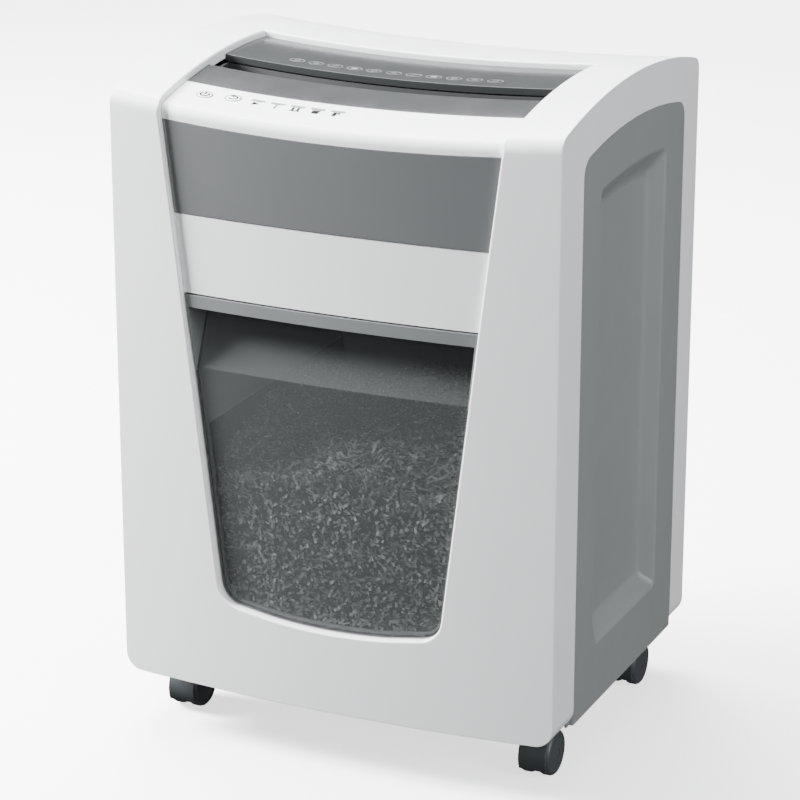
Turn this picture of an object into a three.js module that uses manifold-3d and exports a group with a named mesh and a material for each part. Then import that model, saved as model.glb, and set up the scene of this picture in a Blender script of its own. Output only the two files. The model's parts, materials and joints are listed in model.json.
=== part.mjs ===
// Office paper shredder on casters: cabinet, pull-out bin, cutting head, controls.
// Millimetres, +Z up, front towards -Y. The floor is z = 0 and the origin is under the middle
// of the object. The pieces are worked out in the cabinet's own frame, whose z = 0 is the lower
// edge of the shell and whose y = 0 is the front face at its side edges. One group moves them.
// The front bows forward and the top sags towards the middle, so the pieces that belong to
// those faces are made straight and then bent together by bend().

import * as THREE from "three";
import { mergeVertices } from "three/addons/utils/BufferGeometryUtils.js";
import Module from "manifold-3d";

const wasm = await Module();
wasm.setup();

// ---------------------------------------------------------------- driving dimensions

// cabinet
const width = 390;
const depth = 307;
const shellSideHeight = 502;
const topArchRise = 20.5;
const frontBulge = 12.3;
const topSag = 7.5;
const sagStartHeight = 410;
const shellWall = 3;
const topFrontRadius = 13;
const topBackRadius = 12;
const bottomCornerRadius = 15;
const gap = 0.4;

// opening in the front and the top, a shield that narrows downwards
const openingTopWidth = 298;
const openingTaper = 0.119;
const openingBottom = 70.4;
const openingBottomRadius = 500;
const openingCornerRadius = 22;
const topOpeningToBack = 117;
const insertDrop = 5;
const insertRadius = 9;

// head cover, trims and feed slot
const coverWall = 3.5;
const trimThickness = 1.5;
const headPanelBottom = 343;
const bandBottom = 408;
const bandTop = 488;
const controlStripBack = 50;
const slotFront = 88;
const slotBack = 117;
const trimPlate = 3;
const slotLipDepth = 6;
const guideWall = 2.5;
const guideBottom = 440;
const throatWidth = 14;
const feedWidth = 240;

// controls on the white strip, counted from the opening's left edge and the front
const powerSeat = [27, 33.5];
const reverseSeat = [52, 36];
const buttonSize = [6.5, 4.6];
const buttonTravel = 1.5;
const buttonProud = 0.6;
const buttonLength = 6;
const lensFromLeft = 74;
const lensPitch = 17.7;
const lensCount = 5;
const lensSize = [8, 3];
const lensY = 38.5;
const boardThickness = 1.6;

// side panels
const panelFront = 46;
const panelToBack = 33;
const panelTopDrop = 37;
const panelCornerRadius = 16;
const panelFlange = 6;
const panelThickness = 3;
const recessFront = 85;
const recessToBack = 76;
const recessBottom = 55;
const recessTop = 443;
const recessDepth = 14;
const dishWall = 2.5;

// bin drawer
const binGap = 1;
const windowRecess = 6;
const windowThickness = 3;
const windowCreaseHeight = 281;
const windowLean = 26;
const windowLeanHeight = 38;
const windowTop = 334;
const gripTop = 342;
const gripBottom = 331;
const gripDepth = 12;
const cheekThickness = 1.8;
const tubInset = 2.2;
const tubWall = 2;
const tubToeDepth = 21;
const tubToBack = 45;
const tubTop = 318;
const heapTop = 226;
const heapRidge = 150;
const heapSkin = 8;

// chassis under the bin, runners
const chassisPlate = 5;
const chassisBottom = 3;
const chassisDeckTop = 66;
const chassisDeckHalf = 126;
const chassisMargin = 1;
const runnerHeight = 9;
const runnerWidth = 14;
const runnerSpacing = 130;
const runnerFront = tubToeDepth + 2;
const screwLength = 12;
const screwHeadRadius = 4;
const screwRadius = 2;

// head tray and machine frame
const trayBottom = 349;
const trayThickness = 4;
const traySideGap = 0.5;
const postInset = 45;
const dropSlot = [62, 144];
const sidePlateHalf = 134;
const sidePlateThickness = 3;
const sidePlateFront = 48;
const sidePlateBehindMotor = 10;
const sidePlateTop = 436;
const cutterHeight = 402;
const cutterMiddle = 102.5;
const cutterSpacing = 35;
const discOverlap = 5;
const discClearance = 1.5;
const discCount = 8;
const shaftRadius = 6;
const bearingRadius = 11;
const bearingThickness = 6;
const tieRodRadius = 4;
const combThickness = 3;

// drive
const gearThickness = 7;
const driveGearTeeth = 20;
const idlerGearTeeth = 30;
const pinionTeeth = 10;
const gearModule = 2;
const toothGap = 0.5;
const motorRadius = 33;
const motorLength = 118;
const motorShaftRadius = 4;

// rear cover and mains inlet
const coverInset = 35;
const coverBottom = 30;
const coverTop = 400;
const rearCoverThickness = 2.5;
const rearCoverRadius = 10;
const coverScrewInset = 14;
const ventCount = 5;
const ventSize = [80, 5];
const ventPitch = 12;
const inletSize = [27, 20];
const inletX = 110;
const inletZ = 95;

// casters
const casterHeight = 51.4;
const wheelRadius = 19.5;
const wheelWidth = 11;
const wheelSpacing = 18.4;
const wheelClearance = 0.8;
const casterTrail = 17;
const casterInset = 32;
const casterFrontY = 41;
const casterToBack = 67;
const stemRadius = 5;
const stemLength = 34;
const swivelPinRadius = 4;
const hubRadius = 8;
const hubHeight = 12;
const fenderHalf = 12.3;
const fenderWall = 2;
const fenderLowAngle = -28;
const axleRadius = 3;
const socketRadius = 10;

// ---------------------------------------------------------------- sizes that follow

const halfWidth = width / 2;
const bendSteps = 3;
const bendStep = halfWidth / bendSteps;
const openingTopHalf = openingTopWidth / 2;
const topOpeningBack = depth - topOpeningToBack;
const buttonSeats = {
  power: [powerSeat[0] - openingTopHalf, powerSeat[1]],
  reverse: [reverseSeat[0] - openingTopHalf, reverseSeat[1]],
};
const lensFirst = lensFromLeft - openingTopHalf;
const panelBack = depth - panelToBack;
const recessBack = depth - recessToBack;
const tubBack = depth - tubToBack;
const trayHalfWidth = halfWidth - recessDepth - dishWall - traySideGap;
const postX = halfWidth - postInset;
const discRadius = (cutterSpacing + discOverlap) / 2;
const spacerRadius = cutterSpacing - discRadius - discClearance;
const coverHalfWidth = halfWidth - coverInset;
const casterX = halfWidth - casterInset;
const casterRearY = depth - casterToBack;
const archHalf = depth / 2;
const archRadius = (archHalf ** 2 + topArchRise ** 2) / (2 * topArchRise);
const crownHeight = shellSideHeight + topArchRise;
const sagFullHeight = bandTop;
const bulgeFadeStart = topOpeningBack + 20;
const bulgeFadeEnd = depth - 10;
const originY = (depth - frontBulge) / 2;
const inner = shellWall + gap;
const tubFloor = chassisDeckTop + runnerHeight + 1;
const frontAxisY = cutterMiddle - cutterSpacing / 2;
const rearAxisY = cutterMiddle + cutterSpacing / 2;
const discPitch = feedWidth / discCount;
const driveCentreGap = (driveGearTeeth + idlerGearTeeth) * gearModule / 2 + toothGap;
const pinionCentreGap = (idlerGearTeeth + pinionTeeth) * gearModule / 2 + toothGap;
const idlerY = rearAxisY + Math.sqrt(driveCentreGap ** 2 - 16 ** 2);
const idlerZ = cutterHeight - 16;
const motorY = idlerY + Math.sqrt(pinionCentreGap ** 2 - 12 ** 2);
const motorZ = idlerZ + 12;
const sidePlateBack = motorY + motorRadius + sidePlateBehindMotor;

// ---------------------------------------------------------------- finishes

const finishes = {
  white: { color: 0xeceeee, roughness: 0.35, metalness: 0 },
  innerWhite: { color: 0xc9cccc, roughness: 0.5, metalness: 0 },
  darkGrey: { color: 0x6f7272, roughness: 0.45, metalness: 0 },
  glossGrey: { color: 0x6c6e70, roughness: 0.15, metalness: 0 },
  barGrey: { color: 0x929595, roughness: 0.35, metalness: 0 },
  smoke: { color: 0x6a6d6d, roughness: 0.12, metalness: 0 },
  black: { color: 0x242526, roughness: 0.5, metalness: 0 },
  steel: { color: 0xa9acae, roughness: 0.35, metalness: 1 },
  zinc: { color: 0xbfc2c4, roughness: 0.4, metalness: 1 },
  nylon: { color: 0xd9d6c8, roughness: 0.5, metalness: 0 },
  board: { color: 0x2f6a45, roughness: 0.5, metalness: 0 },
  shreds: { color: 0xb9bbbb, roughness: 0.9, metalness: 0 },
};

// ---------------------------------------------------------------- solids: join and cut

function solid(geometry) {
  const bare = geometry.clone();
  bare.deleteAttribute("normal");
  bare.deleteAttribute("uv");
  const merged = mergeVertices(bare, 1e-4);
  return new wasm.Manifold(new wasm.Mesh({
    numProp: 3,
    vertProperties: new Float32Array(merged.attributes.position.array),
    triVerts: new Uint32Array(merged.index.array),
  }));
}

function join(first, ...others) {
  return others.reduce((whole, piece) => whole.add(piece), first);
}

function cut(first, ...others) {
  return others.reduce((whole, piece) => whole.subtract(piece), first);
}

function common(first, ...others) {
  return others.reduce((whole, piece) => whole.intersect(piece), first);
}

function geometryOf(piece) {
  const mesh = piece.getMesh();
  const geometry = new THREE.BufferGeometry();
  geometry.setAttribute("position", new THREE.BufferAttribute(mesh.vertProperties.slice(), 3));
  geometry.setIndex(new THREE.BufferAttribute(mesh.triVerts.slice(), 1));
  return geometry;
}

// ---------------------------------------------------------------- solids: basic shapes

function box(x0, x1, y0, y1, z0, z1) {
  const geometry = new THREE.BoxGeometry(x1 - x0, y1 - y0, z1 - z0);
  geometry.translate((x0 + x1) / 2, (y0 + y1) / 2, (z0 + z1) / 2);
  return solid(geometry);
}

function extrude(points, length, holes = []) {
  const shape = new THREE.Shape(points.map(([u, v]) => new THREE.Vector2(u, v)));
  for (const hole of holes) {
    shape.holes.push(new THREE.Path(hole.map(([u, v]) => new THREE.Vector2(u, v))));
  }
  return new THREE.ExtrudeGeometry(shape, { depth: length, bevelEnabled: false, steps: 1 });
}

// The outline's two numbers are y and z.
function extrudeX(points, x0, x1, holes = []) {
  const turn = new THREE.Matrix4().makeBasis(
    new THREE.Vector3(0, 1, 0), new THREE.Vector3(0, 0, 1), new THREE.Vector3(1, 0, 0));
  return solid(extrude(points, x1 - x0, holes).applyMatrix4(turn).translate(x0, 0, 0));
}

// The outline's two numbers are x and z.
function extrudeY(points, y0, y1, holes = []) {
  const turn = new THREE.Matrix4().makeBasis(
    new THREE.Vector3(1, 0, 0), new THREE.Vector3(0, 0, 1), new THREE.Vector3(0, -1, 0));
  return solid(extrude(points, y1 - y0, holes).applyMatrix4(turn).translate(0, y1, 0));
}

// The outline's two numbers are x and y.
function extrudeZ(points, z0, z1, holes = []) {
  return solid(extrude(points, z1 - z0, holes).translate(0, 0, z0));
}

function cylinderX(radius, x0, x1, y, z, sides = 20) {
  const geometry = new THREE.CylinderGeometry(radius, radius, x1 - x0, sides);
  return solid(geometry.rotateZ(Math.PI / 2).translate((x0 + x1) / 2, y, z));
}

function cylinderY(radius, y0, y1, x, z, sides = 20) {
  const geometry = new THREE.CylinderGeometry(radius, radius, y1 - y0, sides);
  return solid(geometry.translate(x, (y0 + y1) / 2, z));
}

function cylinderZ(radius, z0, z1, x, y, sides = 20) {
  const geometry = new THREE.CylinderGeometry(radius, radius, z1 - z0, sides);
  return solid(geometry.rotateX(Math.PI / 2).translate(x, y, (z0 + z1) / 2));
}

// A turned piece along X: the profile's two numbers are distance along X and radius.
function turnedX(profile, y, z, sides = 16) {
  const points = profile.map(([along, radius]) => new THREE.Vector2(radius, along));
  return solid(new THREE.LatheGeometry(points, sides).rotateZ(-Math.PI / 2).translate(0, y, z));
}

// An outline from corners [u, v, radius]; each corner with a radius becomes an arc.
function rounded(corners, stepsPerArc = 4) {
  const points = [];
  corners.forEach(([u, v, radius = 0], index) => {
    if (radius <= 0) {
      points.push([u, v]);
      return;
    }
    const before = corners[(index + corners.length - 1) % corners.length];
    const after = corners[(index + 1) % corners.length];
    const corner = new THREE.Vector2(u, v);
    const toBefore = new THREE.Vector2(before[0] - u, before[1] - v).normalize();
    const toAfter = new THREE.Vector2(after[0] - u, after[1] - v).normalize();
    const halfAngle = Math.acos(THREE.MathUtils.clamp(toBefore.dot(toAfter), -1, 1)) / 2;
    const reach = radius / Math.tan(halfAngle);
    const middle = toBefore.clone().add(toAfter).normalize().multiplyScalar(radius / Math.sin(halfAngle));
    const centre = corner.clone().add(middle);
    const start = corner.clone().addScaledVector(toBefore, reach).sub(centre);
    const end = corner.clone().addScaledVector(toAfter, reach).sub(centre);
    let sweep = end.angle() - start.angle();
    sweep -= 2 * Math.PI * Math.round(sweep / (2 * Math.PI));
    for (let step = 0; step <= stepsPerArc; step += 1) {
      const angle = start.angle() + sweep * step / stepsPerArc;
      points.push([centre.x + radius * Math.cos(angle), centre.y + radius * Math.sin(angle)]);
    }
  });
  return points;
}

function ring(radius, u, v, sides) {
  return Array.from({ length: sides }, (_, index) => {
    const angle = 2 * Math.PI * index / sides;
    return [u + radius * Math.cos(angle), v + radius * Math.sin(angle)];
  });
}

// A closed block between two outlines of as many points, each on its own plane of x.
function loftX(outlineA, xA, outlineB, xB) {
  const count = outlineA.length;
  const vertices = [];
  outlineA.forEach(([y, z]) => vertices.push(xA, y, z));
  outlineB.forEach(([y, z]) => vertices.push(xB, y, z));
  const faces = [];
  const flat = outlineA.map(([y, z]) => new THREE.Vector2(y, z));
  const caps = THREE.ShapeUtils.triangulateShape(flat, []);
  const forwards = THREE.ShapeUtils.area(flat) * (xB - xA) > 0;
  for (const [a, b, c] of caps) {
    faces.push(...(forwards ? [a, c, b] : [a, b, c]));
    faces.push(...(forwards ? [a + count, b + count, c + count] : [a + count, c + count, b + count]));
  }
  for (let a = 0; a < count; a += 1) {
    const b = (a + 1) % count;
    faces.push(...(forwards ? [a, b, b + count] : [a, b + count, b]));
    faces.push(...(forwards ? [a, b + count, a + count] : [a, a + count, b + count]));
  }
  const geometry = new THREE.BufferGeometry();
  geometry.setAttribute("position", new THREE.Float32BufferAttribute(vertices, 3));
  geometry.setIndex(faces);
  return solid(geometry);
}

// ---------------------------------------------------------------- the bent front and top

// Splits the triangles at planes of x, so that a bent piece follows the curve.
function divideAcross(geometry) {
  const position = Array.from(geometry.attributes.position.array);
  let triangles = [];
  for (let index = 0; index < geometry.index.count; index += 3) {
    triangles.push([0, 1, 2].map((corner) => geometry.index.getX(index + corner)));
  }
  for (let count = 1 - bendSteps; count < bendSteps; count += 1) {
    const plane = count * bendStep;
    const made = new Map();
    const sideOf = (vertex) => {
      const distance = position[3 * vertex] - plane;
      return Math.abs(distance) < 1e-3 ? 0 : Math.sign(distance);
    };
    const crossing = (a, b) => {
      const key = a < b ? `${a} ${b}` : `${b} ${a}`;
      if (!made.has(key)) {
        const [low, high] = a < b ? [a, b] : [b, a];
        const share = (plane - position[3 * low]) / (position[3 * high] - position[3 * low]);
        made.set(key, position.length / 3);
        for (const axis of [0, 1, 2]) {
          const from = position[3 * low + axis];
          position.push(from + share * (position[3 * high + axis] - from));
        }
      }
      return made.get(key);
    };
    const next = [];
    for (const triangle of triangles) {
      const sides = triangle.map(sideOf);
      if (!(sides.includes(1) && sides.includes(-1))) {
        next.push(triangle);
        continue;
      }
      const onPlane = sides.indexOf(0);
      const isAlone = (side) => sides.filter((other) => other === side).length === 1;
      const lone = onPlane >= 0 ? onPlane : sides.findIndex(isAlone);
      const [a, b, c] = [0, 1, 2].map((turn) => triangle[(lone + turn) % 3]);
      if (onPlane >= 0) {
        const middle = crossing(b, c);
        next.push([a, b, middle], [a, middle, c]);
      } else {
        const onAB = crossing(a, b);
        const onAC = crossing(a, c);
        next.push([a, onAB, onAC], [onAB, b, c], [onAB, c, onAC]);
      }
    }
    triangles = next;
  }
  const divided = new THREE.BufferGeometry();
  divided.setAttribute("position", new THREE.Float32BufferAttribute(position, 3));
  divided.setIndex(triangles.flat());
  return divided;
}

function fade(value, from, to) {
  return THREE.MathUtils.clamp((value - from) / (to - from), 0, 1);
}

// How far a point takes part in the bend: 1 in the middle, 0 at the sides, straight between planes.
function shareAcross(x) {
  const place = THREE.MathUtils.clamp(Math.abs(x) / bendStep, 0, bendSteps);
  const before = Math.min(Math.floor(place), bendSteps - 1);
  const shareAt = (count) => 1 - (count / bendSteps) ** 2;
  return shareAt(before) + (place - before) * (shareAt(before + 1) - shareAt(before));
}

function bentPoint(x, y, z, straightBelow = -Infinity) {
  const across = shareAcross(x);
  const deep = straightBelow === -Infinity ? 1 : fade(z, straightBelow, bandTop);
  const forward = frontBulge * across * (1 - fade(y, bulgeFadeStart, bulgeFadeEnd)) * deep;
  const down = topSag * across * fade(z, sagStartHeight, sagFullHeight) * deep;
  return [x, y - forward, z - down];
}

function bend(piece, straightBelow = -Infinity) {
  const geometry = divideAcross(geometryOf(piece));
  const position = geometry.attributes.position;
  for (let index = 0; index < position.count; index += 1) {
    const [x, y, z] = [position.getX(index), position.getY(index), position.getZ(index)];
    position.setXYZ(index, ...bentPoint(x, y, z, straightBelow));
  }
  return geometry;
}

// ---------------------------------------------------------------- shared outlines

function archHeight(y, drop = 0) {
  const radius = archRadius - drop;
  return crownHeight - archRadius + Math.sqrt(radius ** 2 - (y - archHalf) ** 2);
}

// Side outline of the cabinet in y and z, offset inwards.
function cabinetSide(inset, bottom, frontRadius, backRadius) {
  const front = inset;
  const back = depth - inset;
  const corners = [[front, bottom], [back, bottom], [back, archHeight(back, inset), backRadius]];
  const steps = 5;
  for (let step = steps - 1; step > 0; step -= 1) {
    const y = front + (back - front) * step / steps;
    corners.push([y, archHeight(y, inset)]);
  }
  corners.push([front, archHeight(front, inset), frontRadius]);
  return rounded(corners, 3);
}

function openingHalf(z) {
  return openingTopHalf - openingTaper * (shellSideHeight - z);
}

// Front outline of the opening in x and z, offset inwards, cut off level at the top.
function openingOutline(inset, top) {
  const radius = openingBottomRadius - inset;
  const floorAt = (x) => openingBottom + openingBottomRadius - Math.sqrt(radius ** 2 - x ** 2);
  const cornerZ = floorAt(openingHalf(openingBottom) - inset);
  const cornerX = openingHalf(cornerZ) - inset;
  const cornerRadius = Math.max(2, openingCornerRadius - inset);
  const corners = [[-cornerX, cornerZ, cornerRadius]];
  for (const share of [-0.55, -0.28, 0, 0.28, 0.55]) {
    corners.push([cornerX * share, floorAt(cornerX * share)]);
  }
  corners.push([cornerX, cornerZ, cornerRadius]);
  corners.push([openingHalf(top) - inset, top], [-openingHalf(top) + inset, top]);
  return rounded(corners, 4);
}

// Front outline of the cabinet in x and z, with its rounded lower corners.
function cabinetFront(inset, bottom) {
  const x = halfWidth - inset;
  const radius = bottomCornerRadius;
  const top = crownHeight + 20;
  return rounded([[-x, bottom, radius], [x, bottom, radius], [x, top], [-x, top]]);
}

function cabinetBlock() {
  return common(
    extrudeX(cabinetSide(0, 0, topFrontRadius, topBackRadius), -halfWidth, halfWidth),
    extrudeY(cabinetFront(0, 0), -1, depth + 1));
}

// ---------------------------------------------------------------- cabinet

function panelOutline(inset) {
  const front = panelFront + inset;
  const back = panelBack - inset;
  const radius = panelCornerRadius - inset;
  const topAt = (y) => archHeight(y, panelTopDrop + inset);
  const bottom = -10;
  const corners = [[front, bottom], [back, bottom], [back, topAt(back), radius]];
  for (const share of [0.75, 0.5, 0.25]) {
    const y = front + (back - front) * share;
    corners.push([y, topAt(y)]);
  }
  corners.push([front, topAt(front), radius]);
  return rounded(corners);
}

function outerShell() {
  const hollow = extrudeX(
    cabinetSide(shellWall, -20, topFrontRadius - shellWall, topBackRadius - shellWall),
    -halfWidth + shellWall, halfWidth - shellWall);
  const frontOpening = extrudeY(openingOutline(0, shellSideHeight), -1, topFrontRadius + 6);
  const topOpening = box(-openingTopHalf, openingTopHalf, -1, topOpeningBack,
    shellSideHeight - 10, crownHeight + 9);
  const frontHalf = openingHalf(shellSideHeight - 10);
  const blend = extrudeZ([[-frontHalf, -2], [frontHalf, -2], [openingTopHalf, topFrontRadius],
    [-openingTopHalf, topFrontRadius]], shellSideHeight - 10, shellSideHeight - 9);
  const sideOpenings = extrudeX(panelOutline(0), -halfWidth - 1, halfWidth + 1);
  const rearOpening = extrudeY(coverOutline(0), depth - shellWall - 1, depth + 1);
  const shell = cut(cabinetBlock(), hollow, frontOpening, topOpening, blend, sideOpenings, rearOpening);
  return bend(shell);
}

function sidePanel(side) {
  const outer = halfWidth;
  const plate = extrudeX(panelOutline(gap), outer - panelThickness, outer);
  const flange = extrudeX(panelOutline(-panelFlange).map(([y, z]) => [y, Math.min(z, shellSideHeight)]),
    outer - shellWall - gap - 2, outer - shellWall - gap);
  const neck = extrudeX(panelOutline(gap), outer - shellWall - gap - 1, outer - 1);
  const mouth = (grow) => recessOutline(grow, [0, 0, 0, 0]);
  const floor = (grow) => recessOutline(grow, [7, 9, 12, 20]);
  const dish = loftX(mouth(dishWall), outer - 2, floor(dishWall), outer - recessDepth - dishWall);
  const recess = loftX(mouth(0), outer + 0.01, floor(0), outer - recessDepth);
  const aboveFloor = box(outer - 40, outer + 5, 0, depth, 0, shellSideHeight);
  const whole = common(cut(join(plate, neck, flange, dish), recess), aboveFloor, cabinetBlock());
  const geometry = geometryOf(whole);
  if (side > 0) {
    return geometry;
  }
  geometry.scale(-1, 1, 1);
  const index = geometry.index.array;
  for (let face = 0; face < index.length; face += 3) {
    [index[face + 1], index[face + 2]] = [index[face + 2], index[face + 1]];
  }
  return geometry;
}

// Recess outline in y and z; the insets are for its front, back, bottom and top walls.
function recessOutline(grow, [front, back, bottom, top]) {
  const y0 = recessFront + front - grow;
  const y1 = recessBack - back + grow;
  const z0 = recessBottom + bottom - grow;
  const z1 = recessTop - top + grow;
  const crown = 4;
  return rounded([[y0 + 9, z0], [y1, z0, 4], [y1, z1, 6], [(y0 + y1) / 2, z1 + crown], [y0, z1, 6],
    [y0, z0 + 28]]);
}

function coverOutline(inset) {
  const x = coverHalfWidth - inset;
  const radius = rearCoverRadius - inset;
  return rounded([[-x, coverBottom + inset, radius], [x, coverBottom + inset, radius],
    [x, coverTop - inset, radius], [-x, coverTop - inset, radius]]);
}

const coverScrewSeats = [coverBottom + coverScrewInset, coverTop - coverScrewInset]
  .flatMap((z) => [[-1, z], [1, z]])
  .map(([side, z]) => [side * (coverHalfWidth - coverScrewInset), z]);

function rearCover() {
  const outside = depth - gap;
  const plate = extrudeY(coverOutline(gap), outside - rearCoverThickness, outside);
  const flangeBack = depth - shellWall - gap;
  const flange = extrudeY(coverOutline(-5), flangeBack - 2, flangeBack);
  const neck = extrudeY(coverOutline(gap), flangeBack - 1, outside - 1);
  let whole = join(plate, flange, neck);
  for (let row = 0; row < ventCount; row += 1) {
    const z = coverTop - 60 - row * ventPitch;
    for (const x of [-60, 60]) {
      const half = ventSize[0] / 2;
      whole = cut(whole, box(x - half, x + half, depth - 20, depth + 1, z, z + ventSize[1]));
    }
  }
  for (const [x, z] of coverScrewSeats) {
    whole = cut(whole, cylinderY(screwRadius + gap, depth - 20, depth + 1, x, z, 10));
    whole = cut(whole, cylinderY(screwHeadRadius + gap, outside - 2, depth + 1, x, z, 12));
  }
  const halfWide = inletSize[0] / 2 + gap;
  const halfHigh = inletSize[1] / 2 + gap;
  const inletHole = box(inletX - halfWide, inletX + halfWide, depth - 20, depth + 1,
    inletZ - halfHigh, inletZ + halfHigh);
  return geometryOf(cut(whole, inletHole));
}

function coverScrew([x, z]) {
  const seat = depth - gap - 2 + gap / 2;
  const head = cylinderY(screwHeadRadius, seat, seat + 1.6, x, z, 12);
  const shank = cylinderY(screwRadius, seat - screwLength, seat + 0.5, x, z, 8);
  const crossA = box(x - 2.2, x + 2.2, seat + 0.7, seat + 3, z - 0.4, z + 0.4);
  const crossB = box(x - 0.4, x + 0.4, seat + 0.7, seat + 3, z - 2.2, z + 2.2);
  return geometryOf(cut(join(head, shank), crossA, crossB));
}

function mainsInlet() {
  const [inletWidth, inletHeight] = inletSize;
  const y1 = depth - gap;
  const body = box(inletX - inletWidth / 2, inletX + inletWidth / 2, y1 - 24, y1,
    inletZ - inletHeight / 2, inletZ + inletHeight / 2);
  const mouth = [[-10, -7], [10, -7], [10, 3], [6, 7], [-6, 7], [-10, 3]];
  const well = extrudeY(mouth.map(([x, z]) => [inletX + x, inletZ + z]), y1 - 17, y1 + 1);
  const pins = [[-5, -1.5], [5, -1.5], [0, 3]].map(([x, z]) =>
    box(inletX + x - 1, inletX + x + 1, y1 - 18, y1 - 5, inletZ + z - 1.5, inletZ + z + 1.5));
  const rearTabs = [-6, 0, 6].map((x) =>
    box(inletX + x - 2, inletX + x + 2, y1 - 30, y1 - 23, inletZ - 0.5, inletZ + 0.5));
  return geometryOf(join(cut(body, well), ...pins, ...rearTabs));
}

// ---------------------------------------------------------------- chassis

const casterSeats = {
  fl: [-casterX, casterFrontY],
  fr: [casterX, casterFrontY],
  bl: [-casterX, casterRearY],
  br: [casterX, casterRearY],
};

function baseChassis() {
  const brim = halfWidth - recessDepth / 2 - chassisMargin;
  const half = chassisDeckHalf;
  const plate = chassisPlate;
  const low = chassisBottom;
  const top = chassisDeckTop;
  const hat = [[-brim, low], [-half, low], [-half, top - plate], [half, top - plate], [half, low], [brim, low],
    [brim, low + plate], [half + plate, low + plate], [half + plate, top], [-half - plate, top],
    [-half - plate, low + plate], [-brim, low + plate]];
  let chassis = extrudeX([[inner + chassisMargin, low], [depth - inner - chassisMargin - 2, low],
    [depth - inner - chassisMargin - 2, top], [inner + chassisMargin, top]], -brim, brim);
  chassis = common(chassis, extrudeY(hat, 0, depth));
  for (const [x, y] of Object.values(casterSeats)) {
    chassis = join(chassis, cylinderZ(socketRadius, low, low + stemLength, x, y, 16));
  }
  for (const [x, y] of Object.values(casterSeats)) {
    chassis = cut(chassis, cylinderZ(stemRadius + gap, low - 1, low + stemLength - 3, x, y, 12));
  }
  for (const side of [-1, 1]) {
    const post = box(side * postX - 8, side * postX + 8, 120, 180, low + plate - 1, trayBottom - gap);
    const hollow = box(side * postX - 5.5, side * postX + 5.5, 123, 177, low - 1, trayBottom - 20);
    chassis = cut(join(chassis, post), hollow);
  }
  return geometryOf(chassis);
}

function binRunner(side) {
  const x = side * runnerSpacing / 2;
  const z0 = chassisDeckTop + gap;
  const z1 = z0 + runnerHeight - gap;
  const rail = box(x - runnerWidth / 2, x + runnerWidth / 2, runnerFront, tubBack, z0, z0 + 3);
  const ridge = box(x - 2.5, x + 2.5, runnerFront, tubBack, z0 + 1, z1);
  const stop = box(x - runnerWidth / 2, x + runnerWidth / 2, tubBack + 3, tubBack + 7, z0, z1 + 6);
  const foot = box(x - runnerWidth / 2, x + runnerWidth / 2, tubBack - 2, tubBack + 7, z0, z0 + 3);
  return geometryOf(join(rail, ridge, stop, foot));
}

// ---------------------------------------------------------------- casters

// Each caster is made about its swivel axis, with its wheels behind that axis.
const axleZ = wheelRadius - casterHeight;
const hubTop = -3 * gap;
const pinBottom = hubTop - hubHeight + 3 * gap;

function fenderSide(radius) {
  const steps = 7;
  const lastAngle = 92;
  return Array.from({ length: steps + 1 }, (_, step) => {
    const angle = THREE.MathUtils.degToRad(fenderLowAngle + (lastAngle - fenderLowAngle) * step / steps);
    return [casterTrail - radius * Math.cos(angle), axleZ + radius * Math.sin(angle)];
  });
}

function casterHood() {
  const webHalf = (wheelSpacing - wheelWidth) / 2 - wheelClearance;
  const innerRadius = wheelRadius + wheelClearance;
  const outerRadius = innerRadius + fenderWall;
  const fender = extrudeX([...fenderSide(outerRadius), ...fenderSide(innerRadius).reverse()],
    -fenderHalf, fenderHalf);
  const web = extrudeX([[casterTrail + 5, axleZ - 4], ...fenderSide(innerRadius + 1)], -webHalf, webHalf);
  const hub = cylinderZ(hubRadius, hubTop - hubHeight, hubTop, 0, 0, 16);
  const bore = cylinderX(axleRadius + gap, -fenderHalf, fenderHalf, casterTrail, axleZ, 10);
  const pinHole = cylinderZ(swivelPinRadius + gap, pinBottom - gap, 0, 0, 0, 12);
  return cut(join(web, hub, fender), bore, pinHole);
}

function casterStem() {
  const flangeBottom = hubTop + gap;
  const stem = cylinderZ(stemRadius, flangeBottom, stemLength + chassisBottom - 3 - gap, 0, 0, 12);
  const flange = cylinderZ(stemRadius + 2.2, flangeBottom, chassisBottom - gap, 0, 0, 12);
  const pin = cylinderZ(swivelPinRadius, pinBottom, 0, 0, 0, 12);
  return join(stem, flange, pin);
}

function casterWheels() {
  const axle = cylinderX(axleRadius, -wheelSpacing / 2, wheelSpacing / 2, casterTrail, axleZ, 10);
  const wheels = [-1, 1].map((side) => {
    const innerFace = side * (wheelSpacing - wheelWidth) / 2;
    const outerFace = side * (wheelSpacing + wheelWidth) / 2;
    const profile = [[innerFace, 0], [innerFace, wheelRadius - 1.5], [innerFace + side * 2, wheelRadius],
      [outerFace - side * 4, wheelRadius], [outerFace - side * 1.2, wheelRadius - 2.5],
      [outerFace - side * 1.5, 11], [outerFace, 0]];
    return turnedX(side > 0 ? profile : profile.reverse(), casterTrail, axleZ, 16);
  });
  return join(axle, ...wheels);
}

// ---------------------------------------------------------------- bin drawer

function windowProfile(front, thickness) {
  const creaseFront = [front, windowCreaseHeight];
  const rise = windowTop - windowCreaseHeight;
  const lean = windowLean / windowLeanHeight;
  const leanLength = Math.hypot(1, lean);
  const innerCrease = thickness * (leanLength - 1) / lean;
  return [[front, 0], [front + thickness, 0], [front + thickness, windowCreaseHeight - innerCrease],
    [front + thickness * leanLength + rise * lean, windowTop],
    [front + rise * lean, windowTop], creaseFront];
}

function binWindow() {
  const slab = extrudeX(windowProfile(windowRecess, windowThickness), -halfWidth, halfWidth);
  const shield = extrudeY(openingOutline(binGap, windowTop), -1, 80);
  return bend(cut(common(slab, shield), cheekRooms()));
}

// The grip's thin cheeks close the sides between the leaning window and the front.
const cheekBack = windowRecess + (windowTop - windowCreaseHeight) * windowLean / windowLeanHeight + 4;

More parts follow.
